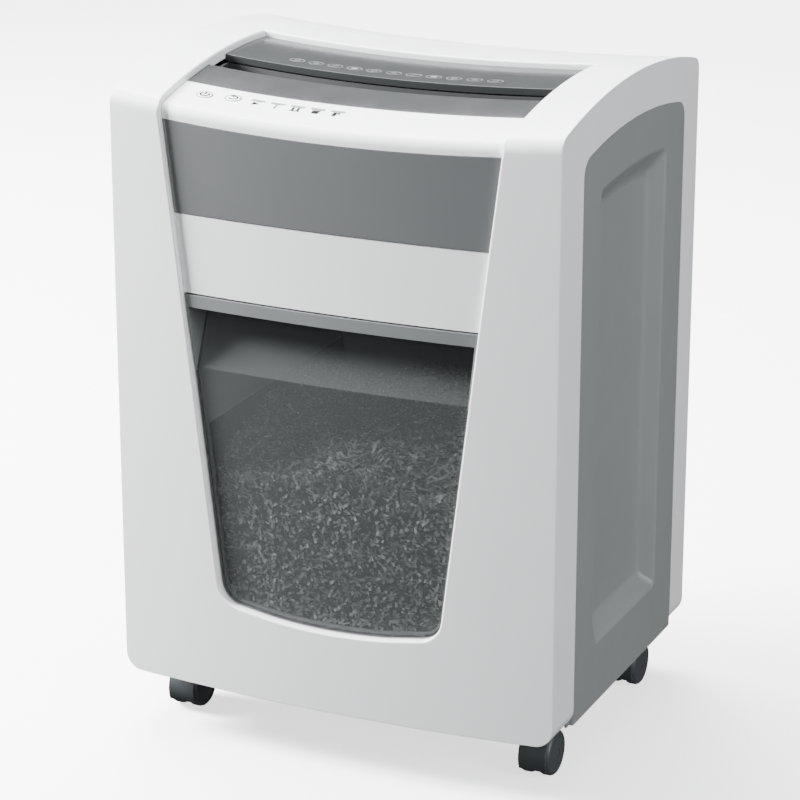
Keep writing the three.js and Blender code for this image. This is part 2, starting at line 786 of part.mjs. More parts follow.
function cheekRooms() {
  const whole = box(-halfWidth, halfWidth, 0, cheekBack + gap, windowCreaseHeight - 4, gripTop);
  return cut(whole, extrudeY(openingOutline(binGap + cheekThickness + gap, gripTop + 1), -1, cheekBack + 1));
}

function binGrip() {
  const bar = extrudeX(rounded([[windowRecess - 2, gripBottom], [windowRecess + gripDepth, gripBottom + 2],
    [windowRecess + gripDepth, gripTop - gap], [windowRecess - 2, gripTop - gap]]), -halfWidth, halfWidth);
  const cheekSide = [[windowRecess, windowCreaseHeight - 3], [windowRecess + 5, windowCreaseHeight - 3],
    [cheekBack, windowTop], [cheekBack, gripTop - gap], [windowRecess - 2, gripTop - gap],
    [windowRecess - 2, gripBottom]];
  const between = extrudeY(openingOutline(binGap + cheekThickness, gripTop + 1), -20, 100);
  const cheeks = cut(extrudeX(cheekSide, -halfWidth, halfWidth), between);
  const shield = extrudeY(openingOutline(binGap, gripTop), -20, 100);
  return bend(common(join(bar, cheeks), shield));
}

function tubFront(offset) {
  const profile = windowProfile(windowRecess, windowThickness);
  const far = tubBack + 50;
  const behind = [profile[1], profile[2], profile[3]].map(([y, z]) => [y + offset, z]);
  return [behind[0], [far, 0], [far, windowTop + 40], [behind[2][0], windowTop + 40], behind[2], behind[1]];
}

// The room above the tub's floor: low at the toe behind the window, higher over the runners.
function aboveTubFloor(wall) {
  const overRunners = box(-halfWidth, halfWidth, -10, depth, tubFloor + wall, tubTop + 20);
  const overToe = box(-halfWidth, halfWidth, -10, tubToeDepth - wall, chassisDeckTop + gap + wall, tubTop + 20);
  return join(overRunners, overToe);
}

function binTub() {
  const outer = common(extrudeY(openingOutline(tubInset, tubTop), 0, tubBack),
    extrudeX(tubFront(gap), -halfWidth, halfWidth), aboveTubFloor(0));
  const hollow = common(extrudeY(openingOutline(tubInset + tubWall, tubTop + 10), -5, tubBack - tubWall),
    aboveTubFloor(tubWall));
  return bend(cut(outer, hollow, cheekRooms()));
}

// The heap of cut paper, pressed against the window, low in front and highest behind the middle.
function heapBlock(inset) {
  const front = windowRecess + windowThickness + 2 * gap + inset;
  const back = tubBack - tubWall - gap - inset;
  const low = tubFloor + tubWall + gap - inset;
  const top = heapTop - inset;
  const side = [[front, low], [back, low], [back, top - 8], [heapRidge, top + 12], [heapRidge - 60, top],
    [40, top - 18], [front, top - 32]];
  return common(extrudeX(side, -halfWidth, halfWidth),
    extrudeY(openingOutline(tubInset + tubWall + gap + inset, tubTop), 0, tubBack));
}

// Loose paper is light, so the heap is a skin that is open below.
function paperShreds() {
  const openBelow = box(-halfWidth / 3, halfWidth / 3, 60, tubBack - 60, 0, heapTop - 60);
  return bend(cut(heapBlock(0), heapBlock(heapSkin), openBelow));
}

// ---------------------------------------------------------------- head cover and trims

function headFrontCover() {
  const outside = cabinetSide(insertDrop, headPanelBottom, insertRadius, 3);
  const inside = cabinetSide(insertDrop + coverWall, headPanelBottom - 20, insertRadius - coverWall, 3);
  const slab = cut(extrudeX(outside, -halfWidth, halfWidth), extrudeX(inside, -halfWidth, halfWidth));
  const frontPart = extrudeY(openingOutline(gap, shellSideHeight - insertDrop), 0, 20);
  const topPart = box(-openingTopHalf + gap, openingTopHalf - gap, 12, controlStripBack, 470, crownHeight);
  const frame = common(slab, join(frontPart, topPart));
  const pocket = box(-halfWidth, halfWidth, -5, insertDrop + trimThickness + gap, bandBottom, bandTop);
  const holes = Object.values(buttonSeats).map(([x, y]) =>
    extrudeZ(oval(x, y, buttonSize[0] + gap, buttonSize[1] + gap), 470, crownHeight));
  const lensHoles = lensPlaces().map((x) => box(x - lensSize[0] / 2 - gap, x + lensSize[0] / 2 + gap,
    lensY - lensSize[1] / 2 - gap, lensY + lensSize[1] / 2 + gap, 470, crownHeight));
  return bend(cut(frame, pocket, ...holes, ...lensHoles));
}

function frontTrimBand() {
  const slab = box(-halfWidth, halfWidth, insertDrop - 0.3, insertDrop - 0.3 + trimThickness,
    bandBottom + gap, bandTop - gap);
  return bend(common(slab, extrudeY(openingOutline(gap, shellSideHeight), -5, 20)));
}

// A plate that follows the top, with a lip that turns down into the feed slot.
function topTrim(y0, y1, lipAt) {
  const outside = cabinetSide(insertDrop, 400, insertRadius, 3);
  const inside = cabinetSide(insertDrop + trimPlate, 390, insertRadius, 3);
  const x = openingTopHalf - gap;
  const skin = cut(extrudeX(outside, -x, x), extrudeX(inside, -x, x));
  const plate = common(skin, box(-x, x, y0, y1, 470, crownHeight));
  const lipFront = lipAt === "front" ? y0 : y1 - 2.5;
  const lip = common(extrudeX(outside, -x, x),
    box(-x, x, lipFront, lipFront + 2.5, archHeight(lipFront, insertDrop) - slotLipDepth, crownHeight));
  return bend(join(plate, lip));
}

function feedGuide() {
  const lipBottomFront = archHeight(slotFront, insertDrop) - slotLipDepth - 2 * gap;
  const lipBottomBack = archHeight(slotBack, insertDrop) - slotLipDepth - 2 * gap;
  const low = [cutterMiddle - throatWidth / 2, cutterMiddle + throatWidth / 2];
  const walls = [
    [[low[0] - guideWall, guideBottom], [low[0], guideBottom],
      [slotFront, lipBottomFront], [slotFront - guideWall, lipBottomFront]],
    [[low[1], guideBottom], [low[1] + guideWall, guideBottom],
      [slotBack + guideWall, lipBottomBack], [slotBack, lipBottomBack]],
  ];
  const x = openingTopHalf - 1;
  const ends = [-1, 1].map((side) => extrudeX(
    [walls[0][0], walls[1][1], walls[1][2], walls[0][3]],
    side > 0 ? x - guideWall : -x, side > 0 ? x : -x + guideWall));
  const faces = walls.map((wall) => extrudeX(wall, -x, x));
  return bend(join(...faces, ...ends), guideBottom);
}

// ---------------------------------------------------------------- controls

function oval(x, y, a, b, sides = 14) {
  return Array.from({ length: sides }, (_, index) => {
    const angle = 2 * Math.PI * index / sides;
    return [x + a * Math.cos(angle), y + b * Math.sin(angle)];
  });
}

function lensPlaces() {
  return Array.from({ length: lensCount }, (_, index) => lensFirst + index * lensPitch);
}

// The button stands upright through the strip, with a flange that keeps it in.
function controlButton([x, y]) {
  const surface = archHeight(y, insertDrop);
  const top = surface + buttonProud;
  const stalk = extrudeZ(oval(x, y, buttonSize[0], buttonSize[1]), surface - buttonLength, top);
  const rimBottom = surface - buttonLength - 1.5;
  const rim = extrudeZ(oval(x, y, buttonSize[0] + 1.5, buttonSize[1] + 1.5), rimBottom, rimBottom + 1.501);
  return bend(join(stalk, rim));
}

function indicatorLens() {
  const [lensWidth, lensDepth] = lensSize;
  const top = archHeight(lensY, insertDrop) + 0.2;
  const under = archHeight(lensY - lensDepth, insertDrop + coverWall) - gap - 0.8;
  const last = lensFirst + (lensCount - 1) * lensPitch;
  const strip = box(lensFirst - 6, last + 6, lensY - 4, lensY + 4, under - 1.5, under);
  const bars = lensPlaces().map((x) =>
    box(x - lensWidth / 2, x + lensWidth / 2, lensY - lensDepth / 2, lensY + lensDepth / 2, under - 1, top));
  return bend(join(strip, ...bars));
}

function controlBoard() {
  const [x, y] = buttonSeats.power;
  const z = archHeight(y, insertDrop) - buttonLength - buttonTravel - 7;
  const plate = box(x - 14, lensFirst + lensCount * lensPitch, 18, 46, z - boardThickness, z);
  const parts = [
    ...Object.values(buttonSeats).map(([bx, by]) => box(bx - 3, bx + 3, by - 3, by + 3, z - 0.5, z + 2.5)),
    ...lensPlaces().map((lx) => box(lx - 1.5, lx + 1.5, lensY - 1.5, lensY + 1.5, z - 0.5, z + 1.5)),
    box(-60, -40, 20, 27, z - 0.5, z + 3.5),
  ];
  return bend(join(plate, ...parts));
}

// ---------------------------------------------------------------- machine frame and cutters

const axisPlaces = {
  front: [frontAxisY, cutterHeight],
  rear: [rearAxisY, cutterHeight],
};

const tieRodPlaces = { front: [sidePlateFront + 10, 364], rear: [sidePlateBack - 10, 364] };

function headTray() {
  const z0 = trayBottom;
  const z1 = trayBottom + trayThickness;
  const plate = box(-trayHalfWidth, trayHalfWidth, 20, depth - inner - 6, z0, z1);
  const drop = box(-feedWidth / 2 - 4, feedWidth / 2 + 4, dropSlot[0], dropSlot[1], z0 - 1, z1 + 1);
  const curbs = [-1, 1].map((side) =>
    box(side * 168 - 2, side * 168 + 2, 60, depth - inner - 12, z1 - 1, z1 + 14));
  return geometryOf(join(cut(plate, drop), ...curbs));
}

function sidePlate(side) {
  const x0 = side > 0 ? sidePlateHalf : -sidePlateHalf - sidePlateThickness;
  const x1 = x0 + sidePlateThickness;
  const z0 = trayBottom + trayThickness + gap;
  const outline = rounded([[sidePlateFront, z0], [sidePlateBack, z0], [sidePlateBack, sidePlateTop - 12, 14],
    [150, sidePlateTop - 6, 20], [140, sidePlateTop, 6], [sidePlateFront + 12, sidePlateTop, 8],
    [sidePlateFront, sidePlateTop - 30, 8]], 3);
  let plate = extrudeX(outline, x0, x1);
  for (const [y, z] of Object.values(axisPlaces)) {
    plate = cut(plate, cylinderX(bearingRadius + gap, x0 - 1, x1 + 1, y, z, 20));
  }
  for (const [y, z] of Object.values(tieRodPlaces)) {
    plate = cut(plate, cylinderX(tieRodRadius - 1 + gap, x0 - 1, x1 + 1, y, z, 12));
  }
  if (side > 0) {
    plate = cut(plate, cylinderX(12, x0 - 1, x1 + 1, motorY, motorZ, 20));
    plate = cut(plate, cylinderX(4 + gap, x0 - 1, x1 + 1, idlerY, idlerZ, 12));
  }
  return geometryOf(plate);
}

function tieRod([y, z]) {
  const body = cylinderX(tieRodRadius, -sidePlateHalf + gap, sidePlateHalf - gap, y, z, 12);
  const ends = cylinderX(tieRodRadius - 1, -sidePlateHalf - 7, sidePlateHalf + 7, y, z, 12);
  return geometryOf(join(body, ends));
}

// A shaft with cutting discs; the two shafts' discs pass between each other.
function cutter([y, z], shift, leftEnd, rightEnd) {
  const left = -feedWidth / 2;
  const half = discPitch / 2;
  const discWidth = half - 1.2;
  const profile = [[leftEnd, 0], [leftEnd, shaftRadius], [left, shaftRadius], [left, spacerRadius]];
  for (let disc = 0; disc < discCount; disc += 1) {
    const start = left + disc * discPitch + shift * half + 0.6;
    profile.push([start, spacerRadius], [start, discRadius], [start + discWidth, discRadius],
      [start + discWidth, spacerRadius]);
  }
  const right = left + feedWidth;
  profile.push([right, spacerRadius], [right, shaftRadius], [rightEnd, shaftRadius], [rightEnd, 0]);
  return geometryOf(turnedX(profile, y, z, 10));
}

function bearing([y, z], side) {
  const near = side * (sidePlateHalf - 2);
  const far = near + side * bearingThickness;
  const flange = near + side * 1.6;
  const [x0, x1] = [Math.min(near, far), Math.max(near, far)];
  const rimEnds = [Math.min(near, flange), Math.max(near, flange)];
  const body = cylinderX(bearingRadius, x0, x1, y, z, 20);
  const rim = cylinderX(bearingRadius + 2, ...rimEnds, y, z, 20);
  const bore = cylinderX(shaftRadius + gap, x0 - 1, x1 + 1, y, z, 16);
  return geometryOf(cut(join(body, rim), bore));
}

// Bars that strip the shreds out of the grooves between the discs.
function comb([y, z], side) {
  const barY = y + side * (discRadius + 5);
  const outside = sidePlateHalf - gap;
  const [barFront, barBack] = [barY, barY + side * 6].sort((a, b) => a - b);
  const bar = box(-outside, outside, barFront, barBack, z - 22, z - 14);
  const shift = side > 0 ? 0 : 1;
  const fingers = [];
  for (let finger = 0; finger < discCount; finger += 1) {
    const x = -feedWidth / 2 + (finger + 0.5 * (1 - shift)) * discPitch + discPitch / 4;
    if (Math.abs(x) < feedWidth / 2) {
      const [y0, y1] = [barY + side, y + side * (spacerRadius + 1.5)].sort((a, b) => a - b);
      fingers.push(box(x - combThickness / 2, x + combThickness / 2, y0, y1, z - 21, z - 15));
    }
  }
  return geometryOf(join(bar, ...fingers));
}

// ---------------------------------------------------------------- drive

function gearOutline(teeth, y, z, phase = 0) {
  const outer = (teeth / 2 + 0.85) * gearModule;
  const root = (teeth / 2 - 1.1) * gearModule;
  const points = [];
  for (let tooth = 0; tooth < teeth; tooth += 1) {
    for (const [share, radius] of [[-0.26, root], [-0.12, outer], [0.12, outer], [0.26, root]]) {
      const angle = 2 * Math.PI * (tooth + share + phase) / teeth;
      points.push([y + radius * Math.cos(angle), z + radius * Math.sin(angle)]);
    }
  }
  return points;
}

// Tooth phase that puts a gap of one wheel where the other has a tooth, along their line of centres.
function meshPhase(teeth, fromTeeth, fromPhase, from, to) {
  const angle = Math.atan2(to[1] - from[1], to[0] - from[0]) / (2 * Math.PI);
  const toothThere = angle * fromTeeth - fromPhase;
  const back = (angle + 0.5) * teeth;
  return back + toothThere + 0.5;
}

const gearPlaces = {
  drive: [rearAxisY, cutterHeight],
  idler: [idlerY, idlerZ],
  motor: [motorY, motorZ],
  syncFront: [frontAxisY, cutterHeight],
  syncRear: [rearAxisY, cutterHeight],
};

const gearLeft = sidePlateHalf + sidePlateThickness + 4;
const gearRight = gearLeft + gearThickness;
const idlerPhase = meshPhase(idlerGearTeeth, driveGearTeeth, 0, gearPlaces.drive, gearPlaces.idler);
const pinionPhase = meshPhase(pinionTeeth, idlerGearTeeth, idlerPhase, gearPlaces.idler, gearPlaces.motor);
const syncTeeth = Math.floor((cutterSpacing - toothGap) / gearModule);
const syncPhase = meshPhase(syncTeeth, syncTeeth, 0, gearPlaces.syncRear, gearPlaces.syncFront);

function gear(teeth, [y, z], phase, bore, side = 1) {
  const x0 = side > 0 ? gearLeft : -gearRight;
  const wheel = extrudeX(gearOutline(teeth, y, z, phase), x0, x0 + gearThickness, [ring(bore, y, z, 14)]);
  return geometryOf(wheel);
}

function idlerAxle() {
  const [y, z] = gearPlaces.idler;
  const pin = cylinderX(4, sidePlateHalf - 3, gearRight + 3, y, z, 12);
  const head = cylinderX(7, gearRight + 1, gearRight + 3, y, z, 12);
  const washer = cylinderX(7, sidePlateHalf + sidePlateThickness + gap, gearLeft - 1, y, z, 12);
  const foot = cylinderX(7, sidePlateHalf - 3, sidePlateHalf - gap, y, z, 12);
  return geometryOf(join(pin, head, washer, foot));
}

function motor() {
  const [y, z] = gearPlaces.motor;
  const right = sidePlateHalf - gap;
  const can = turnedX([[right - motorLength, 0], [right - motorLength, motorRadius - 6],
    [right - motorLength + 6, motorRadius], [right - 8, motorRadius], [right, motorRadius - 8], [right, 0]],
    y, z, 24);
  const foot = box(right - motorLength + 20, right - 20, y - 24, y + 24,
    trayBottom + trayThickness + gap, z - 10);
  const tail = cylinderX(9, right - motorLength - 8, right - motorLength + 1, y, z, 16);
  const bore = cylinderX(motorShaftRadius + gap, right - 20, right + 1, y, z, 14);
  return geometryOf(cut(join(can, foot, tail), bore));
}

function motorPinion() {
  const [y, z] = gearPlaces.motor;
  const shaft = cylinderX(motorShaftRadius, sidePlateHalf - 18, gearLeft + 1, y, z, 14);
  const wheel = extrudeX(gearOutline(pinionTeeth, y, z, pinionPhase), gearLeft, gearRight);
  return geometryOf(join(shaft, wheel));
}

// ---------------------------------------------------------------- sensors

// Switch behind the bin that stops the cutters while the bin is out.
function binSwitch() {
  const y0 = tubBack + 8;
  const z1 = trayBottom - gap;
  const body = box(60, 84, y0, y0 + 14, z1 - 16, z1);
  const lever = box(66, 78, y0 - 5, y0 + 1, z1 - 13, z1 - 11);
  return geometryOf(join(body, lever));
}

// Light barrier at the front wall of the feed throat.
function paperSensor() {
  const y1 = cutterMiddle - throatWidth / 2 - guideWall - 9;
  const z = guideBottom + 14;
  const body = box(-8, 8, y1 - 16, y1 - 4, z - 5, z + 5);
  const eye = cylinderY(2.5, y1 - 5, y1 - 1, 0, z, 10);
  return geometryOf(join(body, eye));
}

// ---------------------------------------------------------------- assembly

const cabinet = new THREE.Group();
cabinet.position.set(0, -originY, casterHeight);

function place(name, geometry, finish, parent = cabinet) {
  const mesh = new THREE.Mesh(geometry, new THREE.MeshStandardMaterial(finishes[finish]));
  mesh.name = name;
  parent.add(mesh);
  return mesh;
}

place("outer_shell", outerShell(), "white");
place("side_panel_left", sidePanel(-1), "darkGrey");
place("side_panel_right", sidePanel(1), "darkGrey");
place("rear_cover", rearCover(), "darkGrey");
coverScrewSeats.forEach((seat, index) => place(`rear_cover_screw_${index + 1}`, coverScrew(seat), "zinc"));
place("mains_inlet", mainsInlet(), "black");
place("base_chassis", baseChassis(), "black");
place("bin_runner_left", binRunner(-1), "nylon");
place("bin_runner_right", binRunner(1), "nylon");

for (const [name, [x, y]] of Object.entries(casterSeats)) {
  const caster = new THREE.Group();
  caster.position.set(x, y, 0);
  cabinet.add(caster);
  place(`caster_${name}_stem`, geometryOf(casterStem()), "zinc", caster);
  place(`caster_${name}_hood`, geometryOf(casterHood()), "black", caster);
  place(`caster_${name}_wheels`, geometryOf(casterWheels()), "black", caster);
}

place("bin_tub", binTub(), "innerWhite");
place("bin_window", binWindow(), "smoke");
place("bin_grip", binGrip(), "barGrey");
place("paper_shreds", paperShreds(), "shreds");

place("head_front_cover", headFrontCover(), "white");
place("front_trim_band", frontTrimBand(), "glossGrey");
place("top_trim_front", topTrim(controlStripBack + gap, slotFront, "back"), "glossGrey");
place("top_trim_rear", topTrim(slotBack, topOpeningBack - gap, "front"), "glossGrey");
place("feed_guide", feedGuide(), "darkGrey");
place("power_button", controlButton(buttonSeats.power), "innerWhite");
place("reverse_button", controlButton(buttonSeats.reverse), "innerWhite");
place("indicator_lens", indicatorLens(), "barGrey");
place("control_board", controlBoard(), "board");

place("head_tray", headTray(), "steel");
place("side_plate_left", sidePlate(-1), "steel");
place("side_plate_right", sidePlate(1), "steel");
for (const [name, seat] of Object.entries(tieRodPlaces)) {
  place(`tie_rod_${name}`, tieRod(seat), "zinc");
}
const leftEnd = -gearRight - 2;
const rightPlain = sidePlateHalf + sidePlateThickness + 2;
place("cutter_front", cutter(axisPlaces.front, 0, leftEnd, rightPlain), "steel");
place("cutter_rear", cutter(axisPlaces.rear, 1, leftEnd, gearRight + 2), "steel");
place("comb_front", comb(axisPlaces.front, -1), "steel");
place("comb_rear", comb(axisPlaces.rear, 1), "steel");
for (const [name, seat] of Object.entries(axisPlaces)) {
  place(`bearing_${name}_left`, bearing(seat, -1), "nylon");
  place(`bearing_${name}_right`, bearing(seat, 1), "nylon");
}
place("drive_gear", gear(driveGearTeeth, gearPlaces.drive, 0, shaftRadius + gap), "nylon");
place("idler_gear", gear(idlerGearTeeth, gearPlaces.idler, idlerPhase, 4 + gap), "nylon");
place("idler_axle", idlerAxle(), "zinc");
place("motor", motor(), "zinc");
place("motor_pinion", motorPinion(), "steel");
place("sync_gear_front", gear(syncTeeth, gearPlaces.syncFront, syncPhase, shaftRadius + gap, -1), "steel");
place("sync_gear_rear", gear(syncTeeth, gearPlaces.syncRear, 0, shaftRadius + gap, -1), "steel");
place("bin_switch", binSwitch(), "black");
place("paper_sensor", paperSensor(), "black");

const shredder = new THREE.Group();
shredder.add(cabinet);

export default shredder;
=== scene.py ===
"""A floor-standing paper shredder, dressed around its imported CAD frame.

Every piece is modelled upright in the cabinet's own place, with the shell's lower edge at height 0 and the
front's side edges at depth 0, then bowed with the front, and set down on the frame.
"""

import json
import math
import random
from functools import partial

import bpy
import numpy as np
from bpy.props import FloatProperty, FloatVectorProperty, IntProperty, PointerProperty
from mathutils import Euler, Matrix, Vector


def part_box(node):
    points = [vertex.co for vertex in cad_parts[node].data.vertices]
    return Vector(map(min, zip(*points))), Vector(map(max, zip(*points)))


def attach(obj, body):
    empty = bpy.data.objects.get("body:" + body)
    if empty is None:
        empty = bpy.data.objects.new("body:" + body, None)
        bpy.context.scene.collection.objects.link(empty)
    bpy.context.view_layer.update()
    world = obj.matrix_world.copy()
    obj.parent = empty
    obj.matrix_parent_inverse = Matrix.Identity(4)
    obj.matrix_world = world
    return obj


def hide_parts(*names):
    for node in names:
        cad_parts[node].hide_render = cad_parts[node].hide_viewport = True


bl_info = {
    "name": "Paper Shredder",
    "version": (1, 0, 0),
    "blender": (4, 5, 0),
    "location": "View3D > Sidebar > Shredder",
    "description": "Builds a cross-cut paper shredder around its CAD frame",
    "category": "Object",
}

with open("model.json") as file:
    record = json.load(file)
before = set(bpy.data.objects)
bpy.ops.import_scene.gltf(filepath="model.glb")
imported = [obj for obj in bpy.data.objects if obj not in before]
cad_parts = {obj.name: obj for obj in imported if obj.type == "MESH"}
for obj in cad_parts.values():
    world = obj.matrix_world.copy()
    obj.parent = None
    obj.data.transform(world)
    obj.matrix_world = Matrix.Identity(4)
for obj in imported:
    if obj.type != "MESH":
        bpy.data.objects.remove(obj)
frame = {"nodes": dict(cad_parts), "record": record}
shell_low, shell_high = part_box("outer_shell")
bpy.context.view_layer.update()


# ---------------------------------------------------------------- sizes and colours


def length(name, description, default):
    return FloatProperty(name=name, description=description, default=default, unit="LENGTH", precision=4)


def colour(name, description, default):
    return FloatVectorProperty(
        name=name, description=description, default=default, subtype="COLOR", min=0, max=1)


class CabinetSizes(bpy.types.PropertyGroup):
    """Shell, openings and side panels."""

    bulge: length("Front bulge", "How far the middle of the front stands forward of its sides", 0.0123)
    sag: length("Top sag", "How far the front of the top dips in its middle", 0.0075)
    sag_start: length("Sag start", "Height on the front where the sag begins", 0.410)
    side_height: length("Side height", "Height of the shell at its front and back corners", 0.502)
    arch_rise: length("Arch rise", "How far the top rises between front and back", 0.0205)
    wall: length("Wall", "Thickness of the shell", 0.003)
    front_radius: length("Front crease", "Radius where the front turns into the top", 0.013)
    back_radius: length("Back crease", "Radius where the top turns into the back", 0.012)
    foot_radius: length("Lower corners", "Radius of the front's lower corners", 0.015)
    edge_radius: length("Edge", "Radius of the edges between front, top and sides", 0.0032)
    gap: length("Gap", "Gap between neighbouring mouldings", 0.0004)
    opening_width: length("Opening width", "Width of the opening at the top", 0.298)
    opening_taper: FloatProperty(
        name="Opening taper", description="Slope of the opening's sides", default=0.119)
    opening_bottom: length("Opening bottom", "Height of the lowest point of the opening", 0.0704)
    opening_floor_radius: length("Opening floor", "Radius of the opening's curved lower edge", 0.5)
    opening_corner: length("Opening corners", "Radius of the opening's lower corners", 0.022)
    opening_back: length("Top opening", "Distance from the front to the back of the top opening", 0.190)
    lip: length("Lip", "Depth of the wall round the opening", 0.009)
    panel_front: length("Panel front", "Distance from the front to a side panel", 0.046)
    panel_to_back: length("Panel back", "Distance from a side panel to the back", 0.033)
    panel_drop: length("Panel top", "Distance from the top down to a side panel", 0.037)
    panel_radius: length("Panel corners", "Radius of a side panel's upper corners", 0.016)
    recess_front: length("Recess front", "Distance from the front to the recess in a side panel", 0.085)
    recess_to_back: length("Recess back", "Distance from the recess to the back", 0.076)
    recess_bottom: length("Recess bottom", "Height of the recess's lower edge", 0.055)
    recess_top: length("Recess top", "Height of the recess's upper edge", 0.443)
    recess_depth: length("Recess depth", "Depth of the recess", 0.014)


class HeadSizes(bpy.types.PropertyGroup):
    """Cover, trims, feed slot and controls."""

    drop: length("Drop", "How far the head and the bin lie below the shell's face", 0.005)
    crease: length("Crease", "Radius where the head's front turns into its top", 0.009)
    cover_wall: length("Cover wall", "Thickness of the white cover", 0.0035)
    bottom: length("Bottom", "Height of the cover's lower edge", 0.343)
    band_bottom: length("Band bottom", "Height of the gloss band's lower edge", 0.408)
    band_top: length("Band top", "Height of the gloss band's upper edge", 0.488)
    band_thickness: length("Band thickness", "Thickness of the gloss band", 0.0015)
    strip_back: length("White strip", "Distance from the front to the back of the white strip", 0.050)
    slot_front: length("Slot front", "Distance from the front to the feed slot", 0.088)
    slot_back: length("Slot back", "Distance from the front to the back of the feed slot", 0.117)
    trim_plate: length("Trim plate", "Thickness of the gloss trims on the top", 0.003)
    lip_depth: length("Slot lip", "How far the trims turn down into the slot", 0.006)
    guide_wall: length("Guide wall", "Thickness of the feed guide", 0.0025)
    guide_bottom: length("Guide bottom", "Height of the feed guide's lower edge", 0.440)
    throat: length("Throat", "Width of the feed guide at its lower edge", 0.014)
    throat_middle: length("Throat middle", "Distance from the front to the middle of the throat", 0.1025)
    button_size: FloatVectorProperty(
        name="Button", description="Half width and half depth of a button", size=2,
        default=(0.0065, 0.0046), unit="LENGTH")
    power_seat: FloatVectorProperty(
        name="Power button", description="Place of the power button across and back", size=2,
        default=(-0.122, 0.0335), unit="LENGTH")
    reverse_seat: FloatVectorProperty(
        name="Reverse button", description="Place of the reverse button across and back", size=2,
        default=(-0.097, 0.036), unit="LENGTH")
    lens_first: length("First light", "Place of the first indicator light across", -0.075)
    lens_pitch: length("Light spacing", "Distance between indicator lights", 0.0177)
    lens_count: IntProperty(name="Lights", description="Number of indicator lights", default=5)
    lens_size: FloatVectorProperty(
        name="Light", description="Width and depth of an indicator light", size=2,
        default=(0.008, 0.003), unit="LENGTH")
    lens_back: length("Lights back", "Distance from the front to the indicator lights", 0.0385)
    mark_pitch: length("Mark spacing", "Distance between the marks on the rear trim", 0.0176)
    mark_count: IntProperty(name="Marks", description="Number of marks on the rear trim", default=11)
    mark_back: length("Marks back", "Distance from the front to the marks on the rear trim", 0.133)


class BinSizes(bpy.types.PropertyGroup):
    """Bin drawer and its paper."""

    gap: length("Bin gap", "Gap between the bin's front and the opening", 0.001)
    window_recess: length("Window recess", "How far the window lies below the shell's face", 0.006)
    window_wall: length("Window wall", "Thickness of the window", 0.003)
    crease_height: length("Window crease", "Height where the window starts to lean back", 0.281)
    lean: FloatProperty(
        name="Lean", description="How far the window leans back for its rise", default=26 / 38)
    window_top: length("Window top", "Height of the window's upper edge", 0.334)
    grip_top: length("Grip top", "Height of the grip's upper edge", 0.342)
    grip_bottom: length("Grip bottom", "Height of the grip's lower edge", 0.331)
    grip_depth: length("Grip depth", "Depth of the grip bar", 0.012)
    cheek: length("Cheek", "Thickness of the grip's cheeks", 0.0018)
    tub_inset: length("Tub inset", "Distance from the opening to the tub's outside", 0.0022)
    tub_wall: length("Tub wall", "Thickness of the tub", 0.002)
    toe_depth: length("Toe depth", "Distance from the front to the back of the tub's toe", 0.021)
    toe_bottom: length("Toe", "Height of the underside of the tub's toe", 0.0664)
    tub_to_back: length("Tub back", "Distance from the tub to the back", 0.045)
    tub_floor: length("Tub floor", "Height of the tub's underside", 0.076)
    tub_top: length("Tub top", "Height of the tub's rim", 0.318)
    heap_front: length("Heap front", "Height of the paper at the window", 0.194)
    heap_ridge: length("Heap ridge", "Height of the paper at its ridge", 0.238)
    shred_length: length("Shred length", "Length of a cut particle", 0.0125)
    shred_width: length("Shred width", "Width of a cut particle", 0.0024)
    shred_count: IntProperty(name="Shreds", description="Number of cut particles in each layer", default=6500)


class CasterSizes(bpy.types.PropertyGroup):
    """Twin-wheel casters."""

    wheel_radius: length("Wheel radius", "Radius of a wheel", 0.0195)
    wheel_width: length("Wheel width", "Width of a wheel", 0.011)
    wheel_spacing: length("Wheel spacing", "Distance between the two wheels", 0.0184)
    trail: length("Trail", "Distance from the swivel to the axle", 0.017)
    hood_half: length("Hood", "Half width of the hood", 0.0123)
    hood_wall: length("Hood wall", "Thickness of the hood", 0.002)
    clearance: length("Clearance", "Gap between a wheel and the hood", 0.0008)


class FinishColours(bpy.types.PropertyGroup):
    """Colours of the mouldings."""

    white: colour("White", "Shell, head cover and keys", (0.80, 0.81, 0.82))
    inner_white: colour("Inner white", "Bin tub", (0.62, 0.64, 0.64))
    dark_grey: colour("Dark grey", "Side panels and rear cover", (0.215, 0.224, 0.226))
    gloss_grey: colour("Gloss grey", "Band on the head", (0.115, 0.120, 0.123))
    trim_grey: colour("Trim grey", "Plates before and behind the feed slot", (0.034, 0.036, 0.037))
    funnel_grey: colour("Funnel grey", "Feed funnel", (0.030, 0.032, 0.033))
    grip_grey: colour("Grip grey", "Bin grip", (0.15, 0.158, 0.160))
    smoke: colour("Smoke", "Bin window", (0.072, 0.077, 0.078))
    black: colour("Black", "Casters, chassis and inlet", (0.042, 0.048, 0.051))
    paper: colour("Paper", "Cut paper", (0.72, 0.74, 0.74))


class ShredderSettings(bpy.types.PropertyGroup):
    """All the shredder's settings."""

    cabinet: PointerProperty(type=CabinetSizes)
    head: PointerProperty(type=HeadSizes)
    bin: PointerProperty(type=BinSizes)
    caster: PointerProperty(type=CasterSizes)
    finish: PointerProperty(type=FinishColours)


def settings():
    return bpy.context.scene.shredder


# ---------------------------------------------------------------- places that follow

half_width = shell_high.x
floor_height = shell_low.z

# Ends of cutting shapes: before the front, and above everything.
before_front, above_all = -0.02, 0.56
# How far prints stand on the head and on the domed keys.
print_rise, key_print_rise = 0.00008, 0.00070


def depth():
    return shell_high.y - shell_low.y - settings().cabinet.bulge


def front_place():
    """Where the front's side edges stand in the frame."""
    return shell_high.y - depth()


